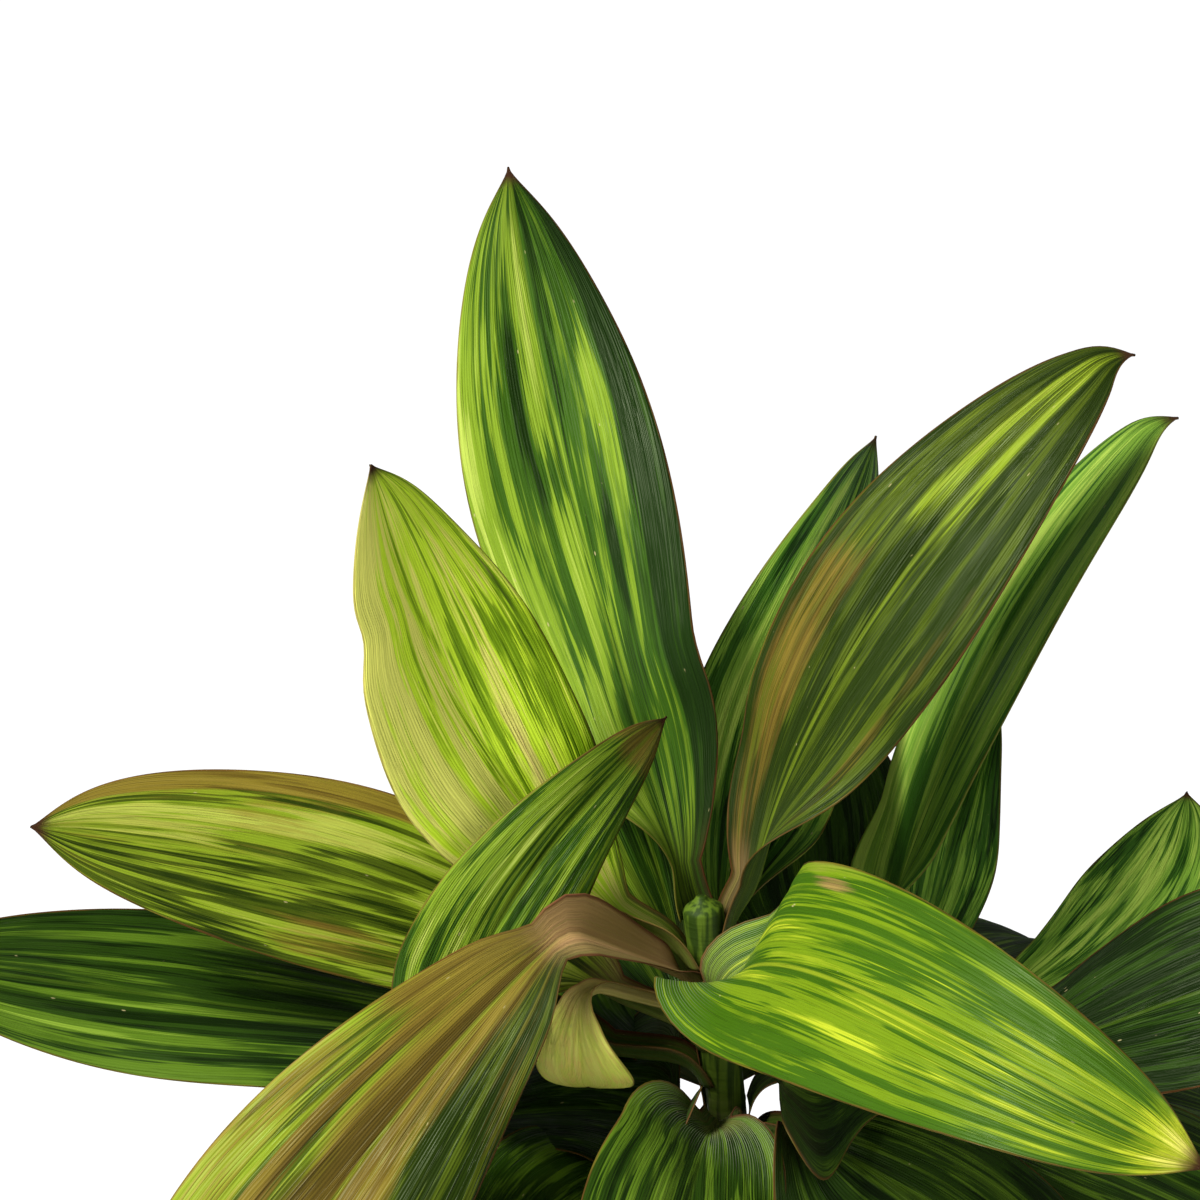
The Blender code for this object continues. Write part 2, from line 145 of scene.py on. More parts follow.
class Nodes:
    """Adds nodes to a tree and links them, with plain values set where a number or colour is given."""

    def __init__(self, tree):
        self.tree = tree

    def node(self, kind, **settings):
        node = self.tree.nodes.new(kind)
        for key, value in settings.items():
            setattr(node, key, value)
        return node

    def feed(self, socket, value):
        if isinstance(value, bpy.types.NodeSocket):
            self.tree.links.new(value, socket)
        elif value is not None:
            socket.default_value = value

    def math(self, operation, first, second=None):
        node = self.node("ShaderNodeMath", operation=operation)
        self.feed(node.inputs[0], first)
        self.feed(node.inputs[1], second)
        return node.outputs[0]

    def add(self, first, second):
        return self.math("ADD", first, second)

    def times(self, first, second):
        return self.math("MULTIPLY", first, second)

    def minus(self, first, second):
        return self.math("SUBTRACT", first, second)

    def ramp(self, value, low, high, out_low=0.0, out_high=1.0, kind="LINEAR"):
        node = self.node("ShaderNodeMapRange", interpolation_type=kind)
        names = ("Value", "From Min", "From Max", "To Min", "To Max")
        for name, entry in zip(names, (value, low, high, out_low, out_high)):
            self.feed(node.inputs[name], entry)
        return node.outputs["Result"]

    def step(self, value, low, high, out_low=0.0, out_high=1.0):
        return self.ramp(value, low, high, out_low, out_high, kind="SMOOTHSTEP")

    def shade(self, colour, amount):
        return self.mix(1.0, colour, rgba(amount, amount, amount), blend="MULTIPLY")

    def mix(self, factor, first, second, blend="MIX"):
        node = self.node("ShaderNodeMix", data_type="RGBA", blend_type=blend)
        self.feed(node.inputs["Factor"], factor)
        self.feed(node.inputs["A"], first)
        self.feed(node.inputs["B"], second)
        return node.outputs["Result"]

    def noise(self, vector, scale, detail=2.0, roughness=0.5):
        node = self.node("ShaderNodeTexNoise")
        self.feed(node.inputs["Vector"], vector)
        self.feed(node.inputs["Scale"], scale)
        self.feed(node.inputs["Detail"], detail)
        self.feed(node.inputs["Roughness"], roughness)
        return node.outputs["Fac"]

    def xyz(self, x, y, z):
        node = self.node("ShaderNodeCombineXYZ")
        for socket, value in zip(node.inputs, (x, y, z)):
            self.feed(socket, value)
        return node.outputs[0]

    def attribute(self, name):
        return self.node("ShaderNodeAttribute", attribute_name=name).outputs["Fac"]

    def object_coords(self):
        return self.node("ShaderNodeTexCoord").outputs["Object"]

    def height_of(self, coords):
        node = self.node("ShaderNodeSeparateXYZ")
        self.feed(node.inputs[0], coords)
        return node.outputs["Z"]

    def stretched(self, coords, scale):
        node = self.node("ShaderNodeMapping")
        self.feed(node.inputs["Vector"], coords)
        node.inputs["Scale"].default_value = scale
        return node.outputs["Vector"]

    def group(self, group, **inputs):
        node = self.node("ShaderNodeGroup", node_tree=group)
        for name, value in inputs.items():
            self.feed(node.inputs[name.replace("_", " ").capitalize()], value)
        return node.outputs

    def bump(self, height, distance):
        node = self.node("ShaderNodeBump")
        node.inputs["Distance"].default_value = distance
        self.feed(node.inputs["Height"], height)
        return node.outputs["Normal"]


def new_group(name, inputs, outputs):
    """An empty node group with float or colour sockets. An input is (name, default)."""
    group = bpy.data.node_groups.new(name, "ShaderNodeTree")
    for label, default in inputs:
        kind = "NodeSocketFloat" if isinstance(default, (int, float)) else "NodeSocketColor"
        socket = group.interface.new_socket(label, in_out="INPUT", socket_type=kind)
        socket.default_value = default
    for label, kind in outputs:
        group.interface.new_socket(label, in_out="OUTPUT", socket_type=f"NodeSocket{kind}")
    given = group.nodes.new("NodeGroupInput").outputs
    result = group.nodes.new("NodeGroupOutput").inputs
    return group, Nodes(group), given, result


def new_material(name):
    material = bpy.data.materials.new(name)
    material.use_nodes = True
    return material, Nodes(material.node_tree), material.node_tree.nodes["Principled BSDF"].inputs


def rgba(red, green, blue):
    return (red, green, blue, 1.0)


def floor_paint():
    material, nodes, shader = new_material("floor_paint")
    cloud = nodes.noise(nodes.object_coords(), 1.4, detail=1.0)
    nodes.feed(shader["Base Color"], nodes.mix(cloud, rgba(0.86, 0.87, 0.88), rgba(0.90, 0.90, 0.90)))
    shader["Roughness"].default_value = 0.9
    shader["Specular IOR Level"].default_value = 0.1
    return material


# Leaf shape: the same sheath, stalk and blade as the solids', with a finer mesh, a thin margin and waves

SHEATH = 14 * MM
SHEATH_GAP = 0.5 * MM
NECK = 18 * MM
SHEATH_FLARE = 22.0
STALK_CREASE = 24.0
BLADE_CREASE = 18.0
BLADE_ARCH = -12.0
MARGIN_THICKNESS = 0.45 * MM
RIB_THICKNESS = 2.6 * MM
TIP_RIB_THICKNESS = 0.9 * MM
SHEATH_RIB_THICKNESS = 0.8 * MM
RIB_GROWTH = 20 * MM
CLASP_EXTRA = 1.0 * MM
TIP_HALF_WIDTH = 0.35 * MM
# Shares of the blade: where its tip draws in, the finer point, a hook at its end, and where a swell can begin
TIP_LENGTH = 0.09
POINT_LENGTH = 0.022
POINT_NARROWING = 0.45
HOOK_LENGTH = 0.08
SWELL_START = 0.04
PLEAT = 0.35 * MM
PLEATS = 5
# Stalks shorter than this, in millimetres, take on less of the stalk's colour
PLAIN_STALK = 20
LEAF_RINGS = 80
LEAF_COLUMNS = 44
STEPS = 400
WIDTH_STEPS = 12
VEIN_LEAN = 0.22


class Cane(NamedTuple):
    """Where a cane leaves the soil and where its crown ends, in millimetres."""

    foot: tuple
    top: tuple


CANES = {
    "main": Cane(foot=(36, 4, 135), top=(16, 0, 323)),
    "right": Cane(foot=(44, 36, 135), top=(71, 47, 272)),
    "left": Cane(foot=(-50, -24, 135), top=(-90, -39, 256)),
}
CANE_RADIUS = 7.4 * MM
CANE_BEND = 0.25


class Leaf(NamedTuple):
    """One leaf, with the sizes of its solid. Lengths are millimetres, angles are degrees.

    height is its base above the floor, azimuth is from +X towards +Y, and turn is how far the blade swings.
    lift is the stalk's rise above level, and rise is the blade's at its base, middle and tip.
    roll leans the blade about its own rib, at its base and at its tip, and stalk_roll does so for the stalk.
    stalk_taper is how much narrower the stalk is at the cane, as a share, and stalk_half is its half width.
    A low base_fullness or tip_fullness makes that half of the blade rounder.
    wrap is how far the stalk's sides curl up, and hook how far the tip turns down.
    """

    cane: str
    tone: str
    height: float
    azimuth: float
    turn: float
    stalk: float
    lift: float
    blade: float
    width: float
    rise: tuple
    roll: tuple = (0, 0)
    base_fullness: float = 0.95
    tip_fullness: float = 1.0
    stalk_half: float = 7.5
    wrap: float = 66
    hook: float = 0
    stalk_roll: float = 0
    stalk_taper: float = 0


LEAVES = {
    # Crown of the main cane, from the top down
    "leaf_tall": Leaf(
        "main", "green", 318, 127, -16, 6, 78, 266, 83, (63, 52, 69), (71, 14), 0.89, 1.09, stalk_half=9
    ),
    "leaf_right_high": Leaf(
        "main", "bronze", 310, 10, 7, 8, 58, 242, 68,
        (77, 52, 36), (-40, -34), 0.91, 1.1, stalk_half=9, hook=40
    ),
    "leaf_lime": Leaf(
        "main", "lime", 302, 187, 16, 20, 31, 196, 82,
        (47, 67, 76), (74, 50), tip_fullness=0.85, stalk_half=9, wrap=45
    ),
    "leaf_right_rear": Leaf(
        "main", "green", 296, 66, -12, 8, 60, 191, 64, (64, 40, 53), (-30, -80), 0.6, 1.11, stalk_half=9
    ),
    "leaf_front_left": Leaf(
        "main", "bronze", 292, 221, -15, 60, 31, 256, 92,
        (-25, -51, -57), (53, 40), 1.42, 0.96, stalk_half=14, wrap=40, stalk_roll=30, stalk_taper=0.45
    ),
    "leaf_curled": Leaf(
        "main", "lime", 278, 224, 45, 53, 27, 50, 38,
        (-60, -115, -140), (-12, -1), 1.12, 0.65, stalk_half=5, wrap=35
    ),
    "leaf_front_right": Leaf(
        "main", "lime", 281, -84, 60, 14, 19, 260, 75,
        (51, -12, -17), (-59, -41), 0.57, 0.96, stalk_half=11, wrap=78, stalk_roll=-86, stalk_taper=0.15
    ),
    "leaf_left": Leaf(
        "main", "bronze", 269, 182, 11, 24, 24, 222, 71, (35, 15, 11), (54, 51), 0.8, 0.85, stalk_half=8
    ),
    "leaf_back_a": Leaf("main", "green", 259, 118, 0, 24, 55, 190, 80, (60, 40, 0), (0, 0), 0.7),
    "leaf_left_low": Leaf(
        "main", "dark", 254, 179, 10, 24, 6, 264, 74, (6, 10, 13), (17, 57), 0.8, 0.95, stalk_half=8
    ),
    "leaf_back_b": Leaf("main", "green", 244, 123, 0, 12, 42, 180, 84, (44, 18, -25), (0, 0), 0.55, 0.9),
    "leaf_inner_right": Leaf(
        "main", "dark", 242, -2, 0, 5, 15, 66, 64, (14, 6, -10), (-18, -18), 0.3, 0.9, stalk_half=9, wrap=10
    ),
    "leaf_front": Leaf(
        "main", "dark", 235, -100, 6, 22, 17, 180, 78, (14, -17, -57), (39, 1), 0.92, 0.99, stalk_half=8
    ),
    "leaf_inner_left": Leaf("main", "dark", 228, 186, 0, 5, 14, 78, 74, (17, 4, -16), (8, 8), 0.25, 0.9),
    "leaf_right_low": Leaf(
        "main", "dark", 227, -38, 20, 18, 8, 176, 74, (-4, -34, -62), (-26, -16), 0.6, 0.94, stalk_half=8
    ),
    "leaf_back_c": Leaf(
        "main", "dark", 220, 98, 0, 14, 27, 170, 78, (32, 8, -35), (0, 0), 0.4, 0.9, wrap=20
    ),
    "leaf_front_low": Leaf("main", "dark", 213, 232, 0, 14, 10, 125, 80, (12, -12, -45), (20, 20)),
    # Crown of the right cane
    "leaf_right_slim": Leaf(
        "right", "green", 263, 6, 6, 12, 81, 235, 56,
        (80, 63, 49), (-9, -12), 0.65, 0.82, stalk_half=8, hook=40
    ),
    "leaf_right_edge": Leaf(
        "right", "green", 254, 19, -23, 17, 36, 109, 40, (67, 89, 61), (-74, -43), 0.87, 1.21, stalk_half=6
    ),
    "leaf_shade": Leaf("right", "dark", 247, 116, -27, 8, 68, 148, 66, (68, 58, 40), (0, 0), 0.6, 0.9),
    "leaf_far_right": Leaf(
        "right", "green", 242, 6, 4, 50, 13, 116, 51, (23, 33, 95), (-39, -60), 1.26, 1.12, stalk_half=8
    ),
    "leaf_right_side": Leaf(
        "right", "dark", 233, -19, 7, 44, 6, 183, 78, (28, 34, 10), (-37, -51), 1.05, 0.89, stalk_half=8
    ),
    "leaf_back_d": Leaf("right", "dark", 225, 54, -10, 14, 34, 160, 68, (26, -5, -45), (0, 0), 0.6, 0.9),
    "leaf_right_under": Leaf("right", "dark", 218, -26, 10, 24, 8, 170, 70, (6, -10, -40), (-15, -15)),
    "leaf_back_e": Leaf("right", "dark", 212, 92, 0, 20, 8, 150, 84, (8, -8, -30)),
    "leaf_right_foot": Leaf("right", "dark", 205, 4, 0, 24, 25, 165, 66, (15, -8, -40)),
    # Crown of the left cane
    "leaf_left_upright": Leaf(
        "left", "green", 246, 7, 38, 15, 74, 154, 56, (86, 44, 27), (-76, -86), 0.45, 1.21, stalk_half=8
    ),
    "leaf_left_hanging": Leaf("left", "green", 237, 214, 0, 20, 2, 165, 66, (-30, -55, -75)),
    "leaf_back_f": Leaf("left", "dark", 222, 60, 0, 20, -5, 140, 60, (-15, -40, -60)),
    "leaf_left_front": Leaf("left", "green", 221, -107, 0, 20, 9, 150, 64, (-16, -48, -66)),
    "leaf_left_rear": Leaf("left", "dark", 213, 150, 0, 20, 10, 150, 60, (-5, -35, -55)),
}


class Look(NamedTuple):
    """How one leaf differs from the others of its tone.

    palette is its own colours, in place of its tone's.
    shade is where the whole leaf lies between dark green at 0 and yellow at 1: partly the leaf's own tone and
    partly painted light and shade, higher for a leaf the lamps reach little and lower for one they reach
    fully.
    side adds to its right half and takes from its left: painted shade on the half that faces away from the
    light and painted light on the half that faces it.
    flush is how much of it is tan, and flush_side does as side does.
    streaks is how strong its broad and its narrow streaks are, and veins how strong the painted highlight
    along the veins is at its base.
    bands are broad stripes, each with its place across the blade from -1 to 1, its half width, its start and
    end along the blade from 0 to 1, and how much lighter it is than the rest; the few that are painted
    highlights and painted shade say so where they stand. stains are the same for tan.
    waves is the number, the size in degrees and the phase of the margins' waves.
    swells are places where one margin stands out or in: its side, its place along the blade, its length, and
    its share of the half width.
    """

    palette: str = ""
    shade: float = 0.36
    side: float = 0.0
    flush: float = -0.08
    flush_side: float = 0.0
    streaks: tuple = (0.22, 0.26)
    veins: float = 0.1
    bands: tuple = ()
    stains: tuple = ()
    waves: tuple = (2.2, 4, 0.0)
    swells: tuple = ()


LOOKS = {
    "leaf_tall": Look(
        shade=0.41,
        side=-0.37,
        # The band at 0.86 is painted shade along the margin that faces away from the light, and the band at
        # -0.12 is a painted highlight beside the rib
        bands=(
            (0.5, 0.13, 0, 0.74, 0.29),
            (0.86, 0.2, 0, 0.92, -0.22),
            (-0.16, 0.1, 0.6, 0.93, 0.3),
            (-0.12, 0.08, 0.26, 0.52, 0.3),
            (-0.3, 0.1, 0.52, 0.8, -0.22),
        ),
        waves=(1.6, 4, 1),
    ),
    "leaf_lime": Look(
        palette="sunlit",
        shade=0.84,
        side=-0.4,
        flush=-0.08,
        flush_side=0.18,
        streaks=(-0.32, -0.42),
        bands=((0.05, 0.14, 0.3, 0.85, -0.16), (-0.55, 0.25, 0.05, 0.45, 0.16)),
        stains=((-0.3, 0.12, 0.02, 0.34, 0.36), (0.3, 0.06, 0.1, 0.5, 0.22)),
        waves=(1.8, 5, 0.4),
        swells=((-1, 0.74, 0.05, -0.13),),
    ),
    "leaf_left": Look(
        shade=0.52,
        flush=0.08,
        flush_side=0.08,
        streaks=(0.28, 0.42),
        # The first band, pale along the rib near the base, is a painted highlight
        bands=((0.02, 0.09, 0.08, 0.38, 0.62), (0.45, 0.14, 0.3, 0.95, 0.34), (0.2, 0.1, 0, 0.7, -0.16)),
        stains=((0.9, 0.16, 0.3, 1, 0.35), (-0.7, 0.2, 0.1, 0.6, 0.18)),
        waves=(2, 4, 2.2),
    ),
    "leaf_left_low": Look(
        shade=0.34,
        bands=((-0.55, 0.06, 0.1, 0.98, 0.4), (-0.15, 0.05, 0.2, 0.9, 0.28), (0.35, 0.04, 0.3, 0.95, 0.22)),
        waves=(1.8, 4, 0.9),
        swells=((-1, 0.12, 0.15, 0.8),),
    ),
    "leaf_left_upright": Look(
        shade=0.47,
        side=-0.06,
        bands=((-0.42, 0.08, 0, 0.75, 0.28), (-0.75, 0.06, 0.1, 0.8, 0.22), (0.42, 0.06, 0.1, 0.7, 0.16)),
        stains=((0, 1.2, 0.84, 1.1, 0.45),),
        waves=(1.2, 3, 0.5),
    ),
    "leaf_front_left": Look(
        shade=0.34,
        # side and the dark band at -0.72 are painted shade on the part that faces away from the light
        side=0.25,
        flush=0.18,
        flush_side=0.06,
        streaks=(0.3, 0.26),
        bands=((0.62, 0.14, 0.1, 0.9, 0.08), (0.4, 0.1, 0.2, 0.7, -0.08), (-0.72, 0.28, 0.2, 1.1, -0.1)),
        stains=((0, 0.34, 0, 1, 0.26), (0.5, 0.07, 0.12, 1.1, 0.5), (0.7, 0.3, 0, 0.25, 0.3)),
        waves=(1.4, 4, 0.2),
        swells=((-1, 0.03, 0.05, -0.42), (1, 0.03, 0.05, -0.3)),
    ),
    "leaf_curled": Look(palette="young_and_painted_lighting", shade=0.9, flush=0.18, streaks=(-0.16, -0.2), waves=(1, 6, 0.5)),
    "leaf_front_right": Look(
        shade=0.12,
        streaks=(0.2, 0.36),
        veins=0.6,
        bands=(
            (0.12, 0.05, 0, 0.85, 0.25),
            (-0.35, 0.06, 0, 0.9, 0.16),
            (0.45, 0.05, 0.1, 0.8, 0.16),
            (0.75, 0.14, 0, 0.5, -0.16),
            (0, 1.2, 0.93, 1.1, 0.85),
        ),
        stains=((-0.8, 0.06, 0.33, 0.4, 0.55), (-0.95, 0.06, 0, 0.9, 0.15), (0, 1.2, 0.955, 1.1, 0.3)),
        waves=(2.4, 5, 2.6),
    ),
    "leaf_right_high": Look(
        shade=0.14,
        side=-0.06,
        flush=-0.03,
        flush_side=-0.1,
        streaks=(0.24, 0.26),
        bands=((-0.1, 0.26, 0.6, 0.96, 0.38), (0.35, 0.12, 0.3, 0.8, -0.1), (-0.15, 0.05, 0.2, 0.6, -0.2)),
        stains=((-0.62, 0.26, 0, 0.52, 0.3), (0.72, 0.07, 0.08, 0.6, 0.3)),
        waves=(1.6, 4, 1.9),
        swells=((1, 0.55, 0.3, 0.15),),
    ),
    "leaf_right_slim": Look(
        palette="fresh",
        shade=0.62,
        flush=-0.3,
        bands=((-0.86, 0.1, 0, 0.5, 0.45), (-0.45, 0.2, 0.58, 0.92, 0.2), (0.1, 0.05, 0.1, 0.7, 0.15)),
        waves=(1.5, 3, 0.3),
        swells=((-1, 0.45, 0.35, 0.32), (-1, 0.1, 0.2, 0.25)),
    ),
    "leaf_right_rear": Look(
        palette="fresh", shade=0.42, flush=-0.3, streaks=(0.26, 0.34), bands=((-0.5, 0.1, 0.2, 0.9, 0.35),)
    ),
    "leaf_right_edge": Look(palette="fresh", shade=0.34, flush=-0.3, bands=((0.35, 0.1, 0.2, 0.9, 0.25),)),
    "leaf_shade": Look(shade=0.2, swells=((1, 0.35, 0.4, 0.52),)),
    "leaf_far_right": Look(
        palette="fresh", shade=0.56, flush=-0.3, streaks=(0.34, 0.44), bands=((-0.2, 0.12, 0.3, 0.95, 0.2),)
    ),
    "leaf_right_side": Look(shade=0.1, streaks=(0.2, 0.34)),
    "leaf_front": Look(
        shade=0.44,
        streaks=(0.2, 0.36),
        veins=0.7,
        waves=(1.6, 5, 0.8),
        swells=((1, 0.07, 0.12, 0.4), (-1, 0.12, 0.3, 0.22)),
    ),
    "leaf_right_low": Look(shade=0.32, swells=((1, 0.05, 0.25, 1),)),
    "leaf_inner_right": Look(shade=0.3, swells=((1, 0.04, 0.25, 1.6),)),
    "leaf_inner_left": Look(shade=0.3, swells=((1, 0.1, 0.35, 0.5), (-1, 0.08, 0.3, 0.6))),
    "leaf_front_low": Look(swells=((1, 0.2, 0.3, 0.45),)),
    "leaf_left_front": Look(swells=((-1, 0.1, 0.3, 0.7),)),
    "leaf_back_c": Look(shade=0.3, swells=((-1, 0.25, 0.3, 0.6),)),
    "leaf_back_e": Look(shade=0.3, swells=((-1, 0.15, 0.35, 0.9),)),
}


def quadratic(low, middle, high, share):
    return (1 - share) ** 2 * low + 2 * share * (1 - share) * middle + share**2 * high


def cane_course(cane):
    foot = np.array(cane.foot) * MM
    span = np.array(cane.top) * MM - foot

    def course(share):
        lean = share - CANE_BEND * share * (1.0 - share)
        slope = 1.0 - CANE_BEND * (1.0 - 2.0 * share)
        centre = foot + span * np.array([lean, lean, share])
        direction = span * np.array([slope, slope, 1.0])
        return centre, direction / np.linalg.norm(direction)

    return course


def cane_share(cane, height):
    return (height - cane.foot[2] * MM) / ((cane.top[2] - cane.foot[2]) * MM)


def leaf_line(leaf, along):
    """Centre line of a leaf: its points, and unit vectors across it and out of its upper face."""
    stalk_end = SHEATH + leaf.stalk * MM
    length = stalk_end + leaf.blade * MM
    at = (np.arange(STEPS) + 0.5) / STEPS * length
    on_blade = np.clip((at - stalk_end) / (leaf.blade * MM), 0, 1)

    opened = smoothstep((at - stalk_end) / NECK + 0.5)
    rise = leaf.lift * (1 - opened) + quadratic(*leaf.rise, on_blade) * opened
    rise = np.radians(rise - leaf.hook * smoothstep((on_blade - 1 + HOOK_LENGTH) / HOOK_LENGTH))
    azimuth = np.radians(leaf.azimuth + leaf.turn * on_blade)
    roll_in = smoothstep((at - SHEATH) / (stalk_end - SHEATH + 0.3 * leaf.blade * MM))
    roll_on = smoothstep((on_blade - 0.2) / 0.8)
    lean = smoothstep((at - SHEATH / 2) / NECK) * (1 - smoothstep((at - stalk_end + NECK / 2) / (2 * NECK)))
    roll = leaf.roll[0] * roll_in + (leaf.roll[1] - leaf.roll[0]) * roll_on + leaf.stalk_roll * lean
    roll = np.radians(roll)

    level = np.stack([np.cos(azimuth), np.sin(azimuth), np.zeros(STEPS)], axis=1)
    up = np.array([0.0, 0.0, 1.0])
    forward = np.cos(rise)[:, None] * level + np.sin(rise)[:, None] * up
    face = -np.sin(rise)[:, None] * level + np.cos(rise)[:, None] * up
    across = np.cross(forward, face)
    face = np.cos(roll)[:, None] * face - np.sin(roll)[:, None] * across

    cane = CANES[leaf.cane]
    centre, axis = cane_course(cane)(cane_share(cane, leaf.height * MM))
    outward = np.array([math.cos(math.radians(leaf.azimuth)), math.sin(math.radians(leaf.azimuth)), 0.0])
    outward = outward - (outward @ axis) * axis
    outward /= np.linalg.norm(outward)
    flare = math.radians(SHEATH_FLARE)
    clasp = math.cos(flare) * axis + math.sin(flare) * outward
    free = smoothstep(at / (1.6 * SHEATH))[:, None]
    forward = unit_rows((1 - free) * clasp + free * forward)
    face = (free - 1) * outward + free * face
    face = unit_rows(face - (face * forward).sum(axis=1, keepdims=True) * forward)
    across = np.cross(forward, face)

    base = centre + (CANE_RADIUS + SHEATH_GAP) * outward
    line = np.vstack([base, base + np.cumsum(forward * (length / STEPS), axis=0)])

    def read(vectors, places):
        return np.stack([np.interp(along, places, vectors[:, axis]) for axis in range(3)], axis=1)

    points = read(line, np.linspace(0, length, STEPS + 1))
    return points, unit_rows(read(across, at)), unit_rows(read(face, at))


def leaf_half_width(leaf, along, on_blade):
    """Half width of the leaf: a narrow stalk, then a long oval blade that draws in to a fine tip."""
    peak = leaf.base_fullness / (leaf.base_fullness + leaf.tip_fullness)
    oval = (on_blade / peak) ** leaf.base_fullness * ((1 - on_blade) / (1 - peak)) ** leaf.tip_fullness
    grown = smoothstep((along - SHEATH / 2) / (leaf.stalk * MM))
    stalk = leaf.stalk_half * MM * (1 - leaf.stalk_taper * (1 - grown))
    swell = (leaf.width * MM / 2 - stalk) * oval
    drawn_in = np.tanh((1 - on_blade) / TIP_LENGTH)
    clasp = CLASP_EXTRA * (1 - smoothstep(along / (SHEATH + RIB_GROWTH / 2)))
    point = 1 - POINT_NARROWING * np.exp((on_blade - 1) / POINT_LENGTH)
    return np.maximum((stalk * drawn_in + swell) * point + clasp, TIP_HALF_WIDTH)


def leaf_faces(leaf, look):
    """Upper face of the leaf as a grid of points, the normals there, and what its finish needs to know."""
    stalk_end = SHEATH + leaf.stalk * MM
    length = stalk_end + leaf.blade * MM
    even = np.linspace(0, 1, LEAF_RINGS + 1)
    along = length * (even - 0.5 * np.sin(2 * math.pi * even) / (2 * math.pi))
    on_blade = np.clip((along - stalk_end) / (leaf.blade * MM), 0, 1)
    points, across, face = leaf_line(leaf, along)
    half = leaf_half_width(leaf, along, on_blade)

    flat = smoothstep(on_blade / 0.22)
    crease = (STALK_CREASE * (1 - flat) + BLADE_CREASE * flat) * smoothstep(along / (1.5 * SHEATH))
    edge = leaf.wrap * (1 - flat) + BLADE_ARCH * flat
    sides = np.linspace(-1, 1, LEAF_COLUMNS + 1)
    count, size, phase = look.waves
    half_on = {-1: half.copy(), 0: half, 1: half.copy()}
    for margin, place, run, share in look.swells:
        bulge = np.exp(-(((on_blade - place) / run) ** 2))
        half_on[margin] *= 1 + share * bulge * smoothstep(on_blade / SWELL_START)
    grid = np.zeros((LEAF_RINGS + 1, LEAF_COLUMNS + 1, 3))
    for column, side in enumerate(sides):
        reach = abs(side) * (np.arange(WIDTH_STEPS) + 0.5) / WIDTH_STEPS
        wave = size * np.sin(2 * math.pi * count * on_blade + phase + (0.9 if side < 0 else 0.0))
        wave = wave * np.sin(math.pi * on_blade)
        tilt = np.radians(crease[:, None] + (edge - crease + wave)[:, None] * reach)
        width = abs(side) * half_on[int(np.sign(side))]
        out = np.cos(tilt).mean(axis=1) * width
        lift = np.sin(tilt).mean(axis=1) * width
        path = abs(side) - VEIN_LEAN * on_blade
        lift = lift + PLEAT * flat * (1 - on_blade) * np.cos(2 * math.pi * PLEATS * path) * (1 - side**4)
        grid[:, column] = points + np.sign(side) * out[:, None] * across + lift[:, None] * face

    normals = unit_rows(np.cross(np.gradient(grid, axis=0), np.gradient(grid, axis=1)))
    facing = np.sign((normals * face[:, None, :]).sum(axis=(1, 2)).sum())
    rib = SHEATH_RIB_THICKNESS + (RIB_THICKNESS - SHEATH_RIB_THICKNESS) * smoothstep(along / RIB_GROWTH)
    rib = rib - (RIB_THICKNESS - TIP_RIB_THICKNESS) * smoothstep(on_blade / 0.5)
    near_rib = np.clip(1 - 3.2 * np.abs(sides), 0, 1) ** 2
    thickness = MARGIN_THICKNESS + (rib - MARGIN_THICKNESS)[:, None] * near_rib[None, :]

    spread = np.ones_like(thickness)
    stalk = min(1, leaf.stalk / PLAIN_STALK) * (1 - smoothstep((along - stalk_end) / NECK))
    marks = {
        "across": spread * sides,
        "blade": spread * on_blade[:, None],
        "along": spread * along[:, None] / MM,
        "from_rib": half[:, None] * np.abs(sides) / MM,
        "from_margin": half[:, None] * (1 - np.abs(sides)) / MM,
        "stalk": spread * stalk[:, None],
    }
    return grid, facing * normals, thickness, marks


def make_leaf(name, leaf, look, material):
    """Shape a flat sheet to the leaf's upper face, then extrude it down to its thickness."""
    grid, normals, thickness, marks = leaf_faces(leaf, look)
    bm = bmesh.new()
    bmesh.ops.create_grid(bm, x_segments=LEAF_COLUMNS, y_segments=LEAF_RINGS, size=0.5)
    layers = {mark: bm.verts.layers.float.new(mark) for mark in (*marks, "under")}
    drop = bm.verts.layers.float_vector.new("drop")
    for vert in bm.verts:
        column = round((vert.co.x + 0.5) * LEAF_COLUMNS)
        ring = round((vert.co.y + 0.5) * LEAF_RINGS)
        vert.co = grid[ring, column]
        vert[drop] = normals[ring, column] * thickness[ring, column]
        for mark, values in marks.items():
            vert[layers[mark]] = values[ring, column]
    made = bmesh.ops.extrude_face_region(bm, geom=list(bm.faces), use_keep_orig=True)["geom"]
    for vert in (element for element in made if isinstance(element, bmesh.types.BMVert)):
        vert.co -= vert[drop]
        vert[layers["under"]] = 1.0
    bm.verts.layers.float_vector.remove(drop)
    bmesh.ops.recalc_face_normals(bm, faces=bm.faces)
    add_piece(f"{name}_blade", bm, material, name)


# Leaf finish

# Streaks: how many lie across half a blade, and how often they break along it
BROAD = (4.0, 1.8)
NARROW = (10.0, 2.2)
THIN = (23.0, 3.5)
HAIR = (60.0, 4.0)
VEIN_LINES = 34
# Where the blade's brown point starts and is full, as shares of the blade
POINT_START = 0.962
POINT_FULL = 0.992
POINT_BROWN = rgba(0.09, 0.035, 0.015)
MARGIN_BROWN = rgba(0.15, 0.05, 0.015)
# A painted highlight on the veins near the blade's base, where light glints off the pleats
VEIN_HIGHLIGHT = rgba(0.50, 0.52, 0.36)
FLECK = rgba(0.50, 0.42, 0.20)
UNDERSIDE = rgba(0.055, 0.12, 0.02)
STEM_STREAKS = (rgba(0.16, 0.17, 0.03), rgba(0.09, 0.15, 0.015))
STEM_FLUSHED = rgba(0.72, 0.40, 0.19)
STEM_MARGIN = rgba(0.16, 0.025, 0.02)


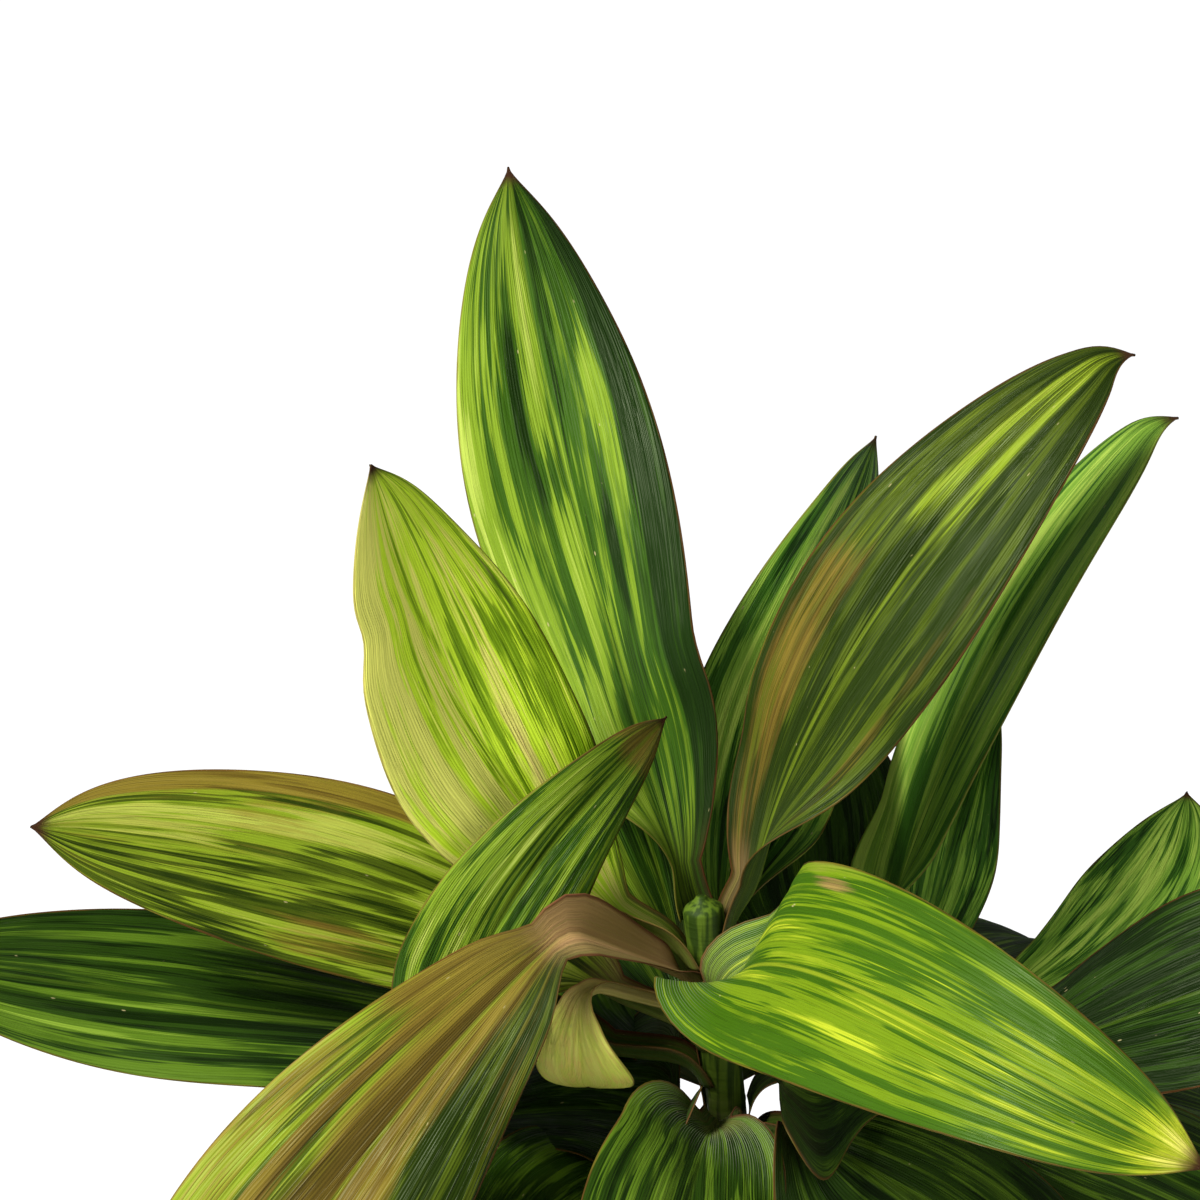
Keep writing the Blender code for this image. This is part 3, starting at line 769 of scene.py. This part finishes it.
def vein_paths_group():
    """Where each point lies among the veins, which leave the rib at a small angle and meet at the tip."""
    group, nodes, given, result = new_group("vein_paths", [("Seed", 0.0)], [("Path", "Float")])
    across, blade = nodes.attribute("across"), nodes.attribute("blade")
    wander = nodes.noise(nodes.xyz(given["Seed"], nodes.times(blade, 3.0), 0.0), 1.0)
    path = nodes.minus(nodes.math("ABSOLUTE", across), nodes.times(blade, VEIN_LEAN))
    path = nodes.add(path, nodes.times(wander, 0.05))
    side = nodes.times(nodes.math("SIGN", across), 7.0)
    nodes.feed(result["Path"], nodes.add(path, side))
    return group


def streaks_group(paths):
    """Long streaks that follow the veins, from 0 to 1, by how many there are and how long they run."""
    inputs = [("Seed", 0.0), ("Number", 8.0), ("Breaks", 2.0)]
    group, nodes, given, result = new_group("streaks", inputs, [("Streak", "Float")])
    path = nodes.group(paths, seed=given["Seed"])["Path"]
    place = nodes.xyz(
        nodes.times(path, given["Number"]),
        nodes.times(nodes.attribute("blade"), given["Breaks"]),
        nodes.times(given["Seed"], 1.7),
    )
    nodes.feed(result["Streak"], nodes.noise(place, 1.0, detail=2.5, roughness=0.6))
    return group


def band_group():
    """One broad stripe at a place across the blade, soft at its ends and ragged at its sides."""
    inputs = [("Centre", 0.0), ("Half width", 0.1), ("Start", 0.0), ("End", 1.0), ("Amount", 0.3)]
    group, nodes, given, result = new_group("band", inputs, [("Shift", "Float")])
    times, minus = nodes.times, nodes.minus
    across, blade = nodes.attribute("across"), nodes.attribute("blade")
    ragged = nodes.noise(nodes.xyz(times(across, 14.0), blade, 0.0), 2.0, detail=3.0)
    away = nodes.math("ABSOLUTE", minus(across, given["Centre"]))
    away = nodes.add(away, times(minus(ragged, 0.5), 0.12))
    mask = nodes.step(nodes.math("DIVIDE", away, given["Half width"]), 1.25, 0.75)
    start = nodes.step(minus(blade, given["Start"]), -0.05, 0.05)
    end = nodes.step(minus(given["End"], blade), -0.05, 0.05)
    mask = times(times(mask, start), end)
    nodes.feed(result["Shift"], times(mask, given["Amount"]))
    return group


class Palette(NamedTuple):
    """A leaf's colours, from its dark streaks to its yellow ones, and tan where it is flushed."""

    dark: tuple
    middle: tuple
    lime: tuple
    yellow: tuple
    tan: tuple


def leaf_colour_group(paths, streaks):
    """The colour, roughness and relief of a leaf, from its palette."""
    inputs = [
        ("Seed", 0.0),
        ("Shade", 0.4),
        ("Flush", 0.0),
        ("Broad", 0.2),
        ("Narrow", 0.2),
        ("Veins", 0.1),
        *((part.capitalize(), rgba(0, 0, 0)) for part in Palette._fields),
    ]
    outputs = [("Colour", "Color"), ("Roughness", "Float"), ("Height", "Float")]
    group, nodes, given, result = new_group("leaf_colour", inputs, outputs)
    add, times, minus = nodes.add, nodes.times, nodes.minus
    seed = given["Seed"]
    blade, across = nodes.attribute("blade"), nodes.attribute("across")
    from_rib, from_margin = nodes.attribute("from_rib"), nodes.attribute("from_margin")
    stalk, under, along = nodes.attribute("stalk"), nodes.attribute("under"), nodes.attribute("along")

    def streak(kind, offset):
        number, breaks = kind
        return nodes.group(streaks, seed=add(seed, offset), number=number, breaks=breaks)["Streak"]

    hair = streak(HAIR, 9.0)
    ragged = times(minus(hair, 0.5), 0.14)

    def crisp(kind, offset, low, high):
        return nodes.step(add(streak(kind, offset), ragged), low, high, -0.5, 0.5)

    place = nodes.xyz(times(across, 2.2), times(blade, 4.0), seed)
    cloud = nodes.noise(place, 1.0, detail=4.0, roughness=0.6)
    narrow = crisp(NARROW, 3.0, 0.45, 0.54)
    thin = crisp(THIN, 6.0, 0.45, 0.56)
    broad = crisp(BROAD, 0.0, 0.43, 0.57)
    # Shade is the leaf's own tone together with the painted light and shade set for it
    value = add(given["Shade"], times(broad, given["Broad"]))
    value = add(value, times(narrow, given["Narrow"]))
    value = add(value, times(thin, times(given["Narrow"], 0.35)))
    value = add(value, add(times(minus(hair, 0.5), 0.07), times(minus(cloud, 0.5), 0.50)))

    colour = nodes.mix(nodes.ramp(value, 0.10, 0.28), given["Dark"], given["Middle"])
    colour = nodes.mix(nodes.ramp(value, 0.42, 0.60), colour, given["Lime"])
    colour = nodes.mix(nodes.ramp(value, 0.76, 0.98), colour, given["Yellow"])

    flushed = nodes.step(add(add(times(cloud, 0.7), times(thin, 0.12)), given["Flush"]), 0.45, 0.80)
    tan = nodes.mix(nodes.ramp(value, 0.1, 0.7), nodes.shade(given["Tan"], 0.50), given["Tan"])
    colour = nodes.mix(times(flushed, 0.85), colour, tan)

    lines = nodes.math("SINE", times(nodes.group(paths, seed=seed)["Path"], 2 * math.pi * VEIN_LINES))
    colour = nodes.mix(nodes.step(lines, 0.1, 1.0, 0.0, 0.12), colour, nodes.shade(colour, 0.4))
    # Painted highlight along the veins near the base of the blade
    pale = times(nodes.step(lines, 0.72, 0.98), times(nodes.step(blade, 0.22, 0.03), given["Veins"]))
    colour = nodes.mix(pale, colour, VEIN_HIGHLIGHT)
    rib = nodes.step(from_rib, 1.1, 0.3, 0.0, 0.45)
    colour = nodes.mix(rib, colour, given["Lime"])

    blotch = nodes.noise(nodes.xyz(times(from_rib, 0.12), times(along, 0.08), seed), 1.0, detail=3.0)
    brim = add(from_margin, times(minus(blotch, 0.5), 1.2))
    colour = nodes.mix(nodes.step(brim, 0.80, 0.25, 0.0, 0.6), colour, MARGIN_BROWN)
    toasted = nodes.step(add(blade, times(minus(blotch, 0.5), 0.04)), POINT_START, POINT_FULL)
    colour = nodes.mix(toasted, colour, POINT_BROWN)

    stem = nodes.mix(nodes.step(narrow, -0.5, 0.5), *STEM_STREAKS)
    stem = nodes.mix(nodes.step(given["Flush"], 0.02, 0.25, 0.0, 0.8), stem, STEM_FLUSHED)
    stem = nodes.mix(nodes.step(from_margin, 2.4, 0.3, 0.0, 0.85), stem, STEM_MARGIN)
    colour = nodes.mix(times(stalk, 0.75), colour, stem)
    colour = nodes.mix(under, colour, nodes.mix(0.3, colour, UNDERSIDE))

    fleck = nodes.node("ShaderNodeTexVoronoi", feature="F1")
    nodes.feed(fleck.inputs["Vector"], nodes.xyz(times(across, 9.0), times(along, 0.09), seed))
    fleck.inputs["Scale"].default_value = 1.0
    spot = nodes.step(fleck.outputs["Distance"], 0.10, 0.05, 0.0, 0.7)
    rare = nodes.step(nodes.noise(nodes.xyz(across, times(along, 0.02), seed), 6.0), 0.60, 0.64)
    colour = nodes.mix(times(spot, rare), colour, FLECK)

    nodes.feed(result["Colour"], colour)
    patchy = nodes.noise(place, 2.0, detail=3.0)
    roughness = nodes.step(patchy, 0.3, 0.7, 0.30, 0.46)
    nodes.feed(result["Roughness"], add(roughness, times(toasted, 0.3)))
    relief = add(times(lines, 0.30), add(times(thin, 1.3), times(hair, 0.6)))
    nodes.feed(result["Height"], add(relief, times(patchy, 0.4)))
    return group


# The four tones, then palettes for single leaves
PALETTES = {
    # The dark tone is partly the leaves' own deep green and partly painted shade, for the leaves inside and
    # under the crown
    "dark": Palette(
        (0.005, 0.016, 0.001), (0.019, 0.05, 0.003), (0.09, 0.17, 0.01), (0.21, 0.33, 0.03),
        tan=(0.16, 0.11, 0.02),
    ),
    "green": Palette(
        (0.008, 0.026, 0.002), (0.035, 0.095, 0.005), (0.205, 0.32, 0.018), (0.43, 0.54, 0.08),
        tan=(0.26, 0.17, 0.03),
    ),
    "bronze": Palette(
        (0.016, 0.032, 0.002), (0.065, 0.098, 0.005), (0.23, 0.32, 0.016), (0.43, 0.48, 0.07),
        tan=(0.225, 0.138, 0.02),
    ),
    "lime": Palette(
        (0.04, 0.105, 0.003), (0.148, 0.24, 0.006), (0.42, 0.49, 0.022), (0.74, 0.72, 0.12),
        tan=(0.52, 0.33, 0.11),
    ),
    # The lime leaf's palette is brighter than its own colour: painted light for a leaf the lamps reach only at
    # a slant
    "sunlit": Palette(
        (0.08, 0.17, 0.004), (0.24, 0.42, 0.01), (0.7, 0.98, 0.04), (0.98, 0.98, 0.19),
        tan=(0.7, 0.46, 0.2),
    ),
    # The curled leaf's palette: its own pale green, brightened as painted light for a leaf that hangs in shade
    "young_and_painted_lighting": Palette(
        (0.3, 0.4, 0.03), (0.55, 0.7, 0.07), (0.8, 0.86, 0.12), (0.9, 0.88, 0.18),
        tan=(0.88, 0.62, 0.16),
    ),
    "fresh": Palette(
        (0.008, 0.034, 0.003), (0.04, 0.13, 0.01), (0.215, 0.4, 0.04), (0.45, 0.64, 0.09),
        tan=(0.2, 0.19, 0.03),
    ),
}


def leaf_wax(name, leaf, look, seed, colours, band):
    material, nodes, shader = new_material(f"{name}_wax")
    across = nodes.attribute("across")
    parts = PALETTES[look.palette or leaf.tone]._asdict()
    palette = {part: rgba(*colour) for part, colour in parts.items()}

    def with_bands(base, slope, bands):
        total = nodes.add(nodes.times(across, slope), base)
        for centre, half_width, start, end, amount in bands:
            stripe = nodes.group(
                band, centre=centre, half_width=half_width, start=start, end=end, amount=amount
            )
            total = nodes.add(total, stripe["Shift"])
        return total

    finish = nodes.group(
        colours,
        seed=seed,
        shade=with_bands(look.shade, look.side, look.bands),
        flush=with_bands(look.flush, look.flush_side, look.stains),
        broad=look.streaks[0],
        narrow=look.streaks[1],
        veins=look.veins,
        **palette,
    )
    nodes.feed(shader["Base Color"], finish["Colour"])
    slant = nodes.node("ShaderNodeLayerWeight").outputs["Facing"]
    dulled = nodes.step(slant, 0.35, 0.85, 0.0, 0.5)
    nodes.feed(shader["Roughness"], nodes.add(finish["Roughness"], dulled))
    nodes.feed(shader["Normal"], nodes.bump(finish["Height"], 0.16 * MM))
    shader["Specular IOR Level"].default_value = 0.13
    shader["Specular Tint"].default_value = (0.90, 1.0, 0.65, 1.0)
    return material


def make_leaves():
    paths = vein_paths_group()
    streaks = streaks_group(paths)
    colours = leaf_colour_group(paths, streaks)
    band = band_group()
    for number, (name, leaf) in enumerate(LEAVES.items()):
        look = LOOKS.get(name, Look(waves=(2.2, 5, number * 1.3)))
        make_leaf(name, leaf, look, leaf_wax(name, leaf, look, 3.1 + 2.37 * number, colours, band))


# Canes

CANE_BURIED = 40 * MM
# Old leaf scars: their height, how far apart they lie, and their place and width as shares of that
CANE_SCAR = 0.5 * MM
CANE_SCAR_STEP = 13 * MM
CANE_SCAR_PLACE = 0.6
CANE_SCAR_WIDTH = 0.12
CANE_ROUGHNESS = 0.03
CANE_SIDES = 32
CANE_STEP = 1.2 * MM
BUD_HEIGHT = 5 * MM
BUD_RADIUS = 2 * MM
# How often the bark's rings and fibres repeat along X, Y and Z, and the heights between which it turns green
BARK_RINGS = (30, 30, 420)
BARK_FIBRES = (420, 420, 18)
CROWN_LOW = 225 * MM
CROWN_HIGH = 275 * MM


def bark():
    material, nodes, shader = new_material("cane_bark")
    coords = nodes.object_coords()
    rings = nodes.noise(nodes.stretched(coords, BARK_RINGS), 1.0, detail=3.0)
    fibres = nodes.noise(nodes.stretched(coords, BARK_FIBRES), 1.0, detail=2.0)
    patches = nodes.noise(coords, 90.0, detail=4.0)
    colour = nodes.mix(nodes.step(rings, 0.35, 0.65), rgba(0.055, 0.035, 0.020), rgba(0.15, 0.10, 0.06))
    colour = nodes.mix(nodes.step(patches, 0.5, 0.75, 0.0, 0.6), colour, rgba(0.11, 0.11, 0.05))
    # The crown's green: young bark, darkened as painted shade so the cane sinks into the shade of the leaf
    # bases
    young_and_painted_lighting = nodes.mix(nodes.step(fibres, 0.4, 0.6), rgba(0.024, 0.050, 0.003), rgba(0.090, 0.150, 0.010))
    ragged = nodes.add(nodes.height_of(coords), nodes.times(patches, 0.03))
    crown = nodes.step(ragged, CROWN_LOW, CROWN_HIGH)
    colour = nodes.mix(crown, colour, young_and_painted_lighting)
    nodes.feed(shader["Base Color"], colour)
    nodes.feed(shader["Roughness"], nodes.step(patches, 0.2, 0.8, 0.55, 0.8))
    nodes.feed(shader["Normal"], nodes.bump(nodes.add(rings, patches), 0.5 * MM))
    shader["Specular IOR Level"].default_value = 0.15
    return material


def make_cane(name, cane, material):
    """Sweep circles up the cane's course, swelling at each old leaf scar, to a small closed bud.

    The scars fade out in the crown's upper half, where the cane is full and smooth.
    """
    course = cane_course(cane)
    length = (cane.top[2] - cane.foot[2]) * MM
    bm = bmesh.new()
    rows = []
    marks = np.arange(-CANE_BURIED, length + BUD_HEIGHT, CANE_STEP)
    for mark in (*marks, length + BUD_HEIGHT):
        centre, direction = course(min(mark / length, 1.0))
        past = max(0.0, mark - length)
        off_scar = abs((mark / CANE_SCAR_STEP) % 1.0 - CANE_SCAR_PLACE)
        scar = max(0.0, 1 - off_scar / CANE_SCAR_WIDTH, 4 * mark / length - 2)
        radius = CANE_RADIUS - CANE_SCAR * (1 - smoothstep(scar))
        bud = smoothstep(past / BUD_HEIGHT)
        radius = radius * (1 - bud) + BUD_RADIUS * bud
        turn = Vector((0, 0, 1)).rotation_difference(vec(direction)).to_matrix()
        circle = bmesh.ops.create_circle(bm, segments=CANE_SIDES, radius=radius)["verts"]
        for vert in circle:
            vert.co *= 1 + CANE_ROUGHNESS * noise.noise(Vector((vert.co.x * 300, vert.co.y * 300, mark * 60)))
        bmesh.ops.rotate(bm, verts=circle, cent=(0, 0, 0), matrix=turn)
        bmesh.ops.translate(bm, verts=circle, vec=vec(centre + direction * past))
        rows.append({edge for vert in circle for edge in vert.link_edges})
    for lower, upper in zip(rows, rows[1:]):
        bmesh.ops.bridge_loops(bm, edges=list(lower | upper))
    bmesh.ops.holes_fill(bm, edges=bm.edges, sides=CANE_SIDES)
    bmesh.ops.recalc_face_normals(bm, faces=bm.faces)
    add_piece(f"stem_{name}", bm, material, f"cane_{name}")


# Pot

POT_HEIGHT = 150 * MM
POT_FOOT_RADIUS = 56 * MM
POT_SHOULDER_RADIUS = 76 * MM
POT_BAND_RADIUS = 83 * MM
POT_BAND_HEIGHT = 28 * MM
POT_WALL = 6 * MM
POT_FLOOR = 8 * MM
POT_SIDES = 144
LIP_ROUND = 2.0 * MM
TURNING_RING = 3.2 * MM
DRAIN_COUNT = 4
DRAIN_RADIUS = 5 * MM
DRAIN_CIRCLE = 34 * MM


def turned(profile, sides):
    """Turn an outline of (radius, height) points round +Z. Its first and last points lie on the axis."""
    bm = bmesh.new()
    points = [bm.verts.new((radius, 0.0, height)) for radius, height in profile]
    edges = [bm.edges.new(pair) for pair in zip(points, points[1:])]
    bmesh.ops.spin(
        bm, geom=points + edges, cent=(0, 0, 0), axis=(0, 0, 1), angle=2 * math.pi, steps=sides, use_merge=True
    )
    bmesh.ops.remove_doubles(bm, verts=bm.verts, dist=0.001 * MM)
    bmesh.ops.recalc_face_normals(bm, faces=bm.faces)
    return bm


def rounded(before, corner, after, radius, segments=5):
    """Points of a quarter-like turn that replaces a sharp corner of an outline."""
    before, corner, after = (np.array(point) for point in (before, corner, after))
    start = corner + radius * unit_rows(before - corner)
    end = corner + radius * unit_rows(after - corner)
    shares = np.linspace(0, 1, segments + 1)
    return [tuple(quadratic(start, corner, end, share)) for share in shares]


def pot_inner_radius(height):
    share = height / (POT_HEIGHT - POT_BAND_HEIGHT)
    return POT_FOOT_RADIUS + (POT_SHOULDER_RADIUS - POT_FOOT_RADIUS) * share - POT_WALL


def clay():
    material, nodes, shader = new_material("pot_clay")
    coords = nodes.object_coords()
    level = nodes.height_of(coords)
    mottle = nodes.noise(coords, 26.0, detail=5.0, roughness=0.6)
    grain = nodes.noise(coords, 700.0, detail=2.0)
    colour = nodes.mix(nodes.step(mottle, 0.3, 0.7), rgba(0.40, 0.155, 0.080), rgba(0.56, 0.255, 0.145))
    colour = nodes.mix(nodes.step(grain, 0.62, 0.75, 0.0, 0.35), colour, rgba(0.25, 0.09, 0.045))
    bloom = nodes.noise(coords, 11.0, detail=4.0, roughness=0.65)
    foot = nodes.step(level, 40 * MM, 2 * MM)
    mouth = nodes.step(level, POT_HEIGHT - 12 * MM, POT_HEIGHT)
    chalky = nodes.add(nodes.times(foot, 0.16), nodes.times(mouth, 0.10))
    chalky = nodes.step(nodes.add(bloom, chalky), 0.56, 0.80, 0.0, 0.55)
    colour = nodes.mix(chalky, colour, rgba(0.70, 0.55, 0.44))
    nodes.feed(shader["Base Color"], colour)
    nodes.feed(shader["Roughness"], nodes.step(mottle, 0.2, 0.8, 0.72, 0.9))
    rings = nodes.math("SINE", nodes.times(level, 2 * math.pi / TURNING_RING))
    relief = nodes.add(nodes.times(rings, 0.12), nodes.add(grain, mottle))
    nodes.feed(shader["Normal"], nodes.bump(relief, 0.25 * MM))
    shader["Specular IOR Level"].default_value = 0.3
    return material


def make_pot():
    band_low = POT_HEIGHT - POT_BAND_HEIGHT
    mouth_radius = pot_inner_radius(POT_HEIGHT)
    corners = [
        (0.0, 0.0),
        (POT_FOOT_RADIUS, 0.0),
        (POT_SHOULDER_RADIUS, band_low),
        (POT_BAND_RADIUS, band_low),
        (POT_BAND_RADIUS, POT_HEIGHT),
        (mouth_radius, POT_HEIGHT),
        (pot_inner_radius(POT_FLOOR), POT_FLOOR),
        (0.0, POT_FLOOR),
    ]
    profile = [corners[0]]
    for before, corner, after in zip(corners, corners[1:], corners[2:]):
        profile += rounded(before, corner, after, LIP_ROUND)
    profile.append(corners[-1])
    pot = add_piece("clay_pot", turned(profile, POT_SIDES), clay(), "pot")

    drains = bmesh.new()
    for index in range(DRAIN_COUNT):
        angle = 2 * math.pi * (index + 0.5) / DRAIN_COUNT
        hole = bmesh.ops.create_cone(
            drains, cap_ends=True, segments=32, radius1=DRAIN_RADIUS, radius2=DRAIN_RADIUS, depth=3 * POT_FLOOR
        )
        centre = Vector((DRAIN_CIRCLE * math.cos(angle), DRAIN_CIRCLE * math.sin(angle), POT_FLOOR / 2))
        bmesh.ops.translate(drains, verts=hole["verts"], vec=centre)
    cut_out(pot, drains)


def cut_out(piece, cutter_bm):
    """Cut a shape out of a piece, and keep the result as its mesh."""
    cutter_mesh = bpy.data.meshes.new("cutter")
    cutter_bm.to_mesh(cutter_mesh)
    cutter_bm.free()
    cutter = bpy.data.objects.new("cutter", cutter_mesh)
    bpy.context.scene.collection.objects.link(cutter)
    modifier = piece.modifiers.new("cut", "BOOLEAN")
    modifier.operation = "DIFFERENCE"
    modifier.solver = "EXACT"
    modifier.object = cutter
    shown = piece.evaluated_get(bpy.context.evaluated_depsgraph_get())
    piece.data = bpy.data.meshes.new_from_object(shown)
    piece.modifiers.remove(modifier)
    piece.data.shade_smooth()
    piece.data.set_sharp_from_angle(angle=math.radians(40))
    bpy.data.objects.remove(cutter, do_unlink=True)


# Soil

SEAT_GAP = 0.3 * MM
SOIL_TOP = 135 * MM
SOIL_HEAP = 5 * MM
SOIL_RINGS = 44
SOIL_SIDES = 144
CRUMBS = 900
CRUMB_SIZES = (0.8 * MM, 2.6 * MM)


def soil_height(x, y, edge_radius):
    reach = 1.0 - min(1.0, math.hypot(x, y) / edge_radius) ** 2
    lumps = math.sin(x * 170 + 1.3) * math.cos(y * 150 - 0.4)
    return SOIL_TOP + SOIL_HEAP * reach * (1.0 + 0.4 * lumps)


def potting_mix():
    material, nodes, shader = new_material("potting_mix")
    coords = nodes.object_coords()
    tint = nodes.attribute("tint")
    fine = nodes.noise(coords, 260.0, detail=5.0, roughness=0.7)
    damp = nodes.noise(coords, 22.0, detail=2.0)
    colour = nodes.mix(nodes.step(fine, 0.35, 0.65), rgba(0.016, 0.010, 0.006), rgba(0.075, 0.048, 0.030))
    colour = nodes.mix(nodes.step(tint, 0.3, 0.9, 0.0, 0.75), colour, rgba(0.17, 0.10, 0.055))
    colour = nodes.mix(nodes.step(damp, 0.55, 0.75, 0.0, 0.5), colour, rgba(0.014, 0.009, 0.006))
    nodes.feed(shader["Base Color"], colour)
    nodes.feed(shader["Roughness"], nodes.step(damp, 0.4, 0.8, 0.95, 0.7))
    nodes.feed(shader["Normal"], nodes.bump(fine, 1.2 * MM))
    return material


def make_soil():
    """A filled, slightly heaped top with crumbs of bark sunk into it."""
    bottom = POT_FLOOR + SEAT_GAP
    edge_radius = pot_inner_radius(SOIL_TOP) - SEAT_GAP
    side = [(pot_inner_radius(bottom) - SEAT_GAP, bottom), (edge_radius, SOIL_TOP)]
    top = [(edge_radius * (1 - ring / SOIL_RINGS), SOIL_TOP) for ring in range(1, SOIL_RINGS)]
    bm = turned([(0.0, bottom), *side, *top, (0.0, SOIL_TOP)], SOIL_SIDES)
    for vert in bm.verts:
        if vert.co.z > SOIL_TOP - 0.01 * MM:
            rough = noise.fractal(vert.co * 180, 0.7, 2.0, 4) * 0.9 * MM
            inner = smoothstep((edge_radius - vert.co.xy.length) / (4 * MM))
            vert.co.z = soil_height(vert.co.x, vert.co.y, edge_radius) + rough * inner
    tint = bm.verts.layers.float.new("tint")
    draw = random.Random(7)
    for _ in range(CRUMBS):
        angle = draw.uniform(0, 2 * math.pi)
        radius = (edge_radius - 4 * MM) * math.sqrt(draw.random())
        size = draw.uniform(*CRUMB_SIZES)
        crumb = bmesh.ops.create_icosphere(bm, subdivisions=1, radius=size)["verts"]
        shade = draw.random()
        stretch = Vector((draw.uniform(0.8, 1.7), draw.uniform(0.6, 1.0), draw.uniform(0.3, 0.7)))
        for vert in crumb:
            vert[tint] = shade
            vert.co *= draw.uniform(0.8, 1.15)
        bmesh.ops.scale(bm, verts=crumb, vec=stretch)
        spin = Matrix.Rotation(draw.uniform(0, 2 * math.pi), 3, "Z")
        tilt = Matrix.Rotation(draw.uniform(-0.5, 0.5), 3, "X")
        bmesh.ops.rotate(bm, verts=crumb, cent=(0, 0, 0), matrix=spin @ tilt)
        x, y = radius * math.cos(angle), radius * math.sin(angle)
        place = Vector((x, y, soil_height(x, y, edge_radius) + 0.1 * size))
        bmesh.ops.translate(bm, verts=crumb, vec=place)
    add_piece("potting_soil", bm, potting_mix(), "soil")


place_camera()
light_studio()
lay_floor()
make_pot()
make_soil()
cane_bark = bark()
for cane_name, cane in CANES.items():
    make_cane(cane_name, cane, cane_bark)
make_leaves()
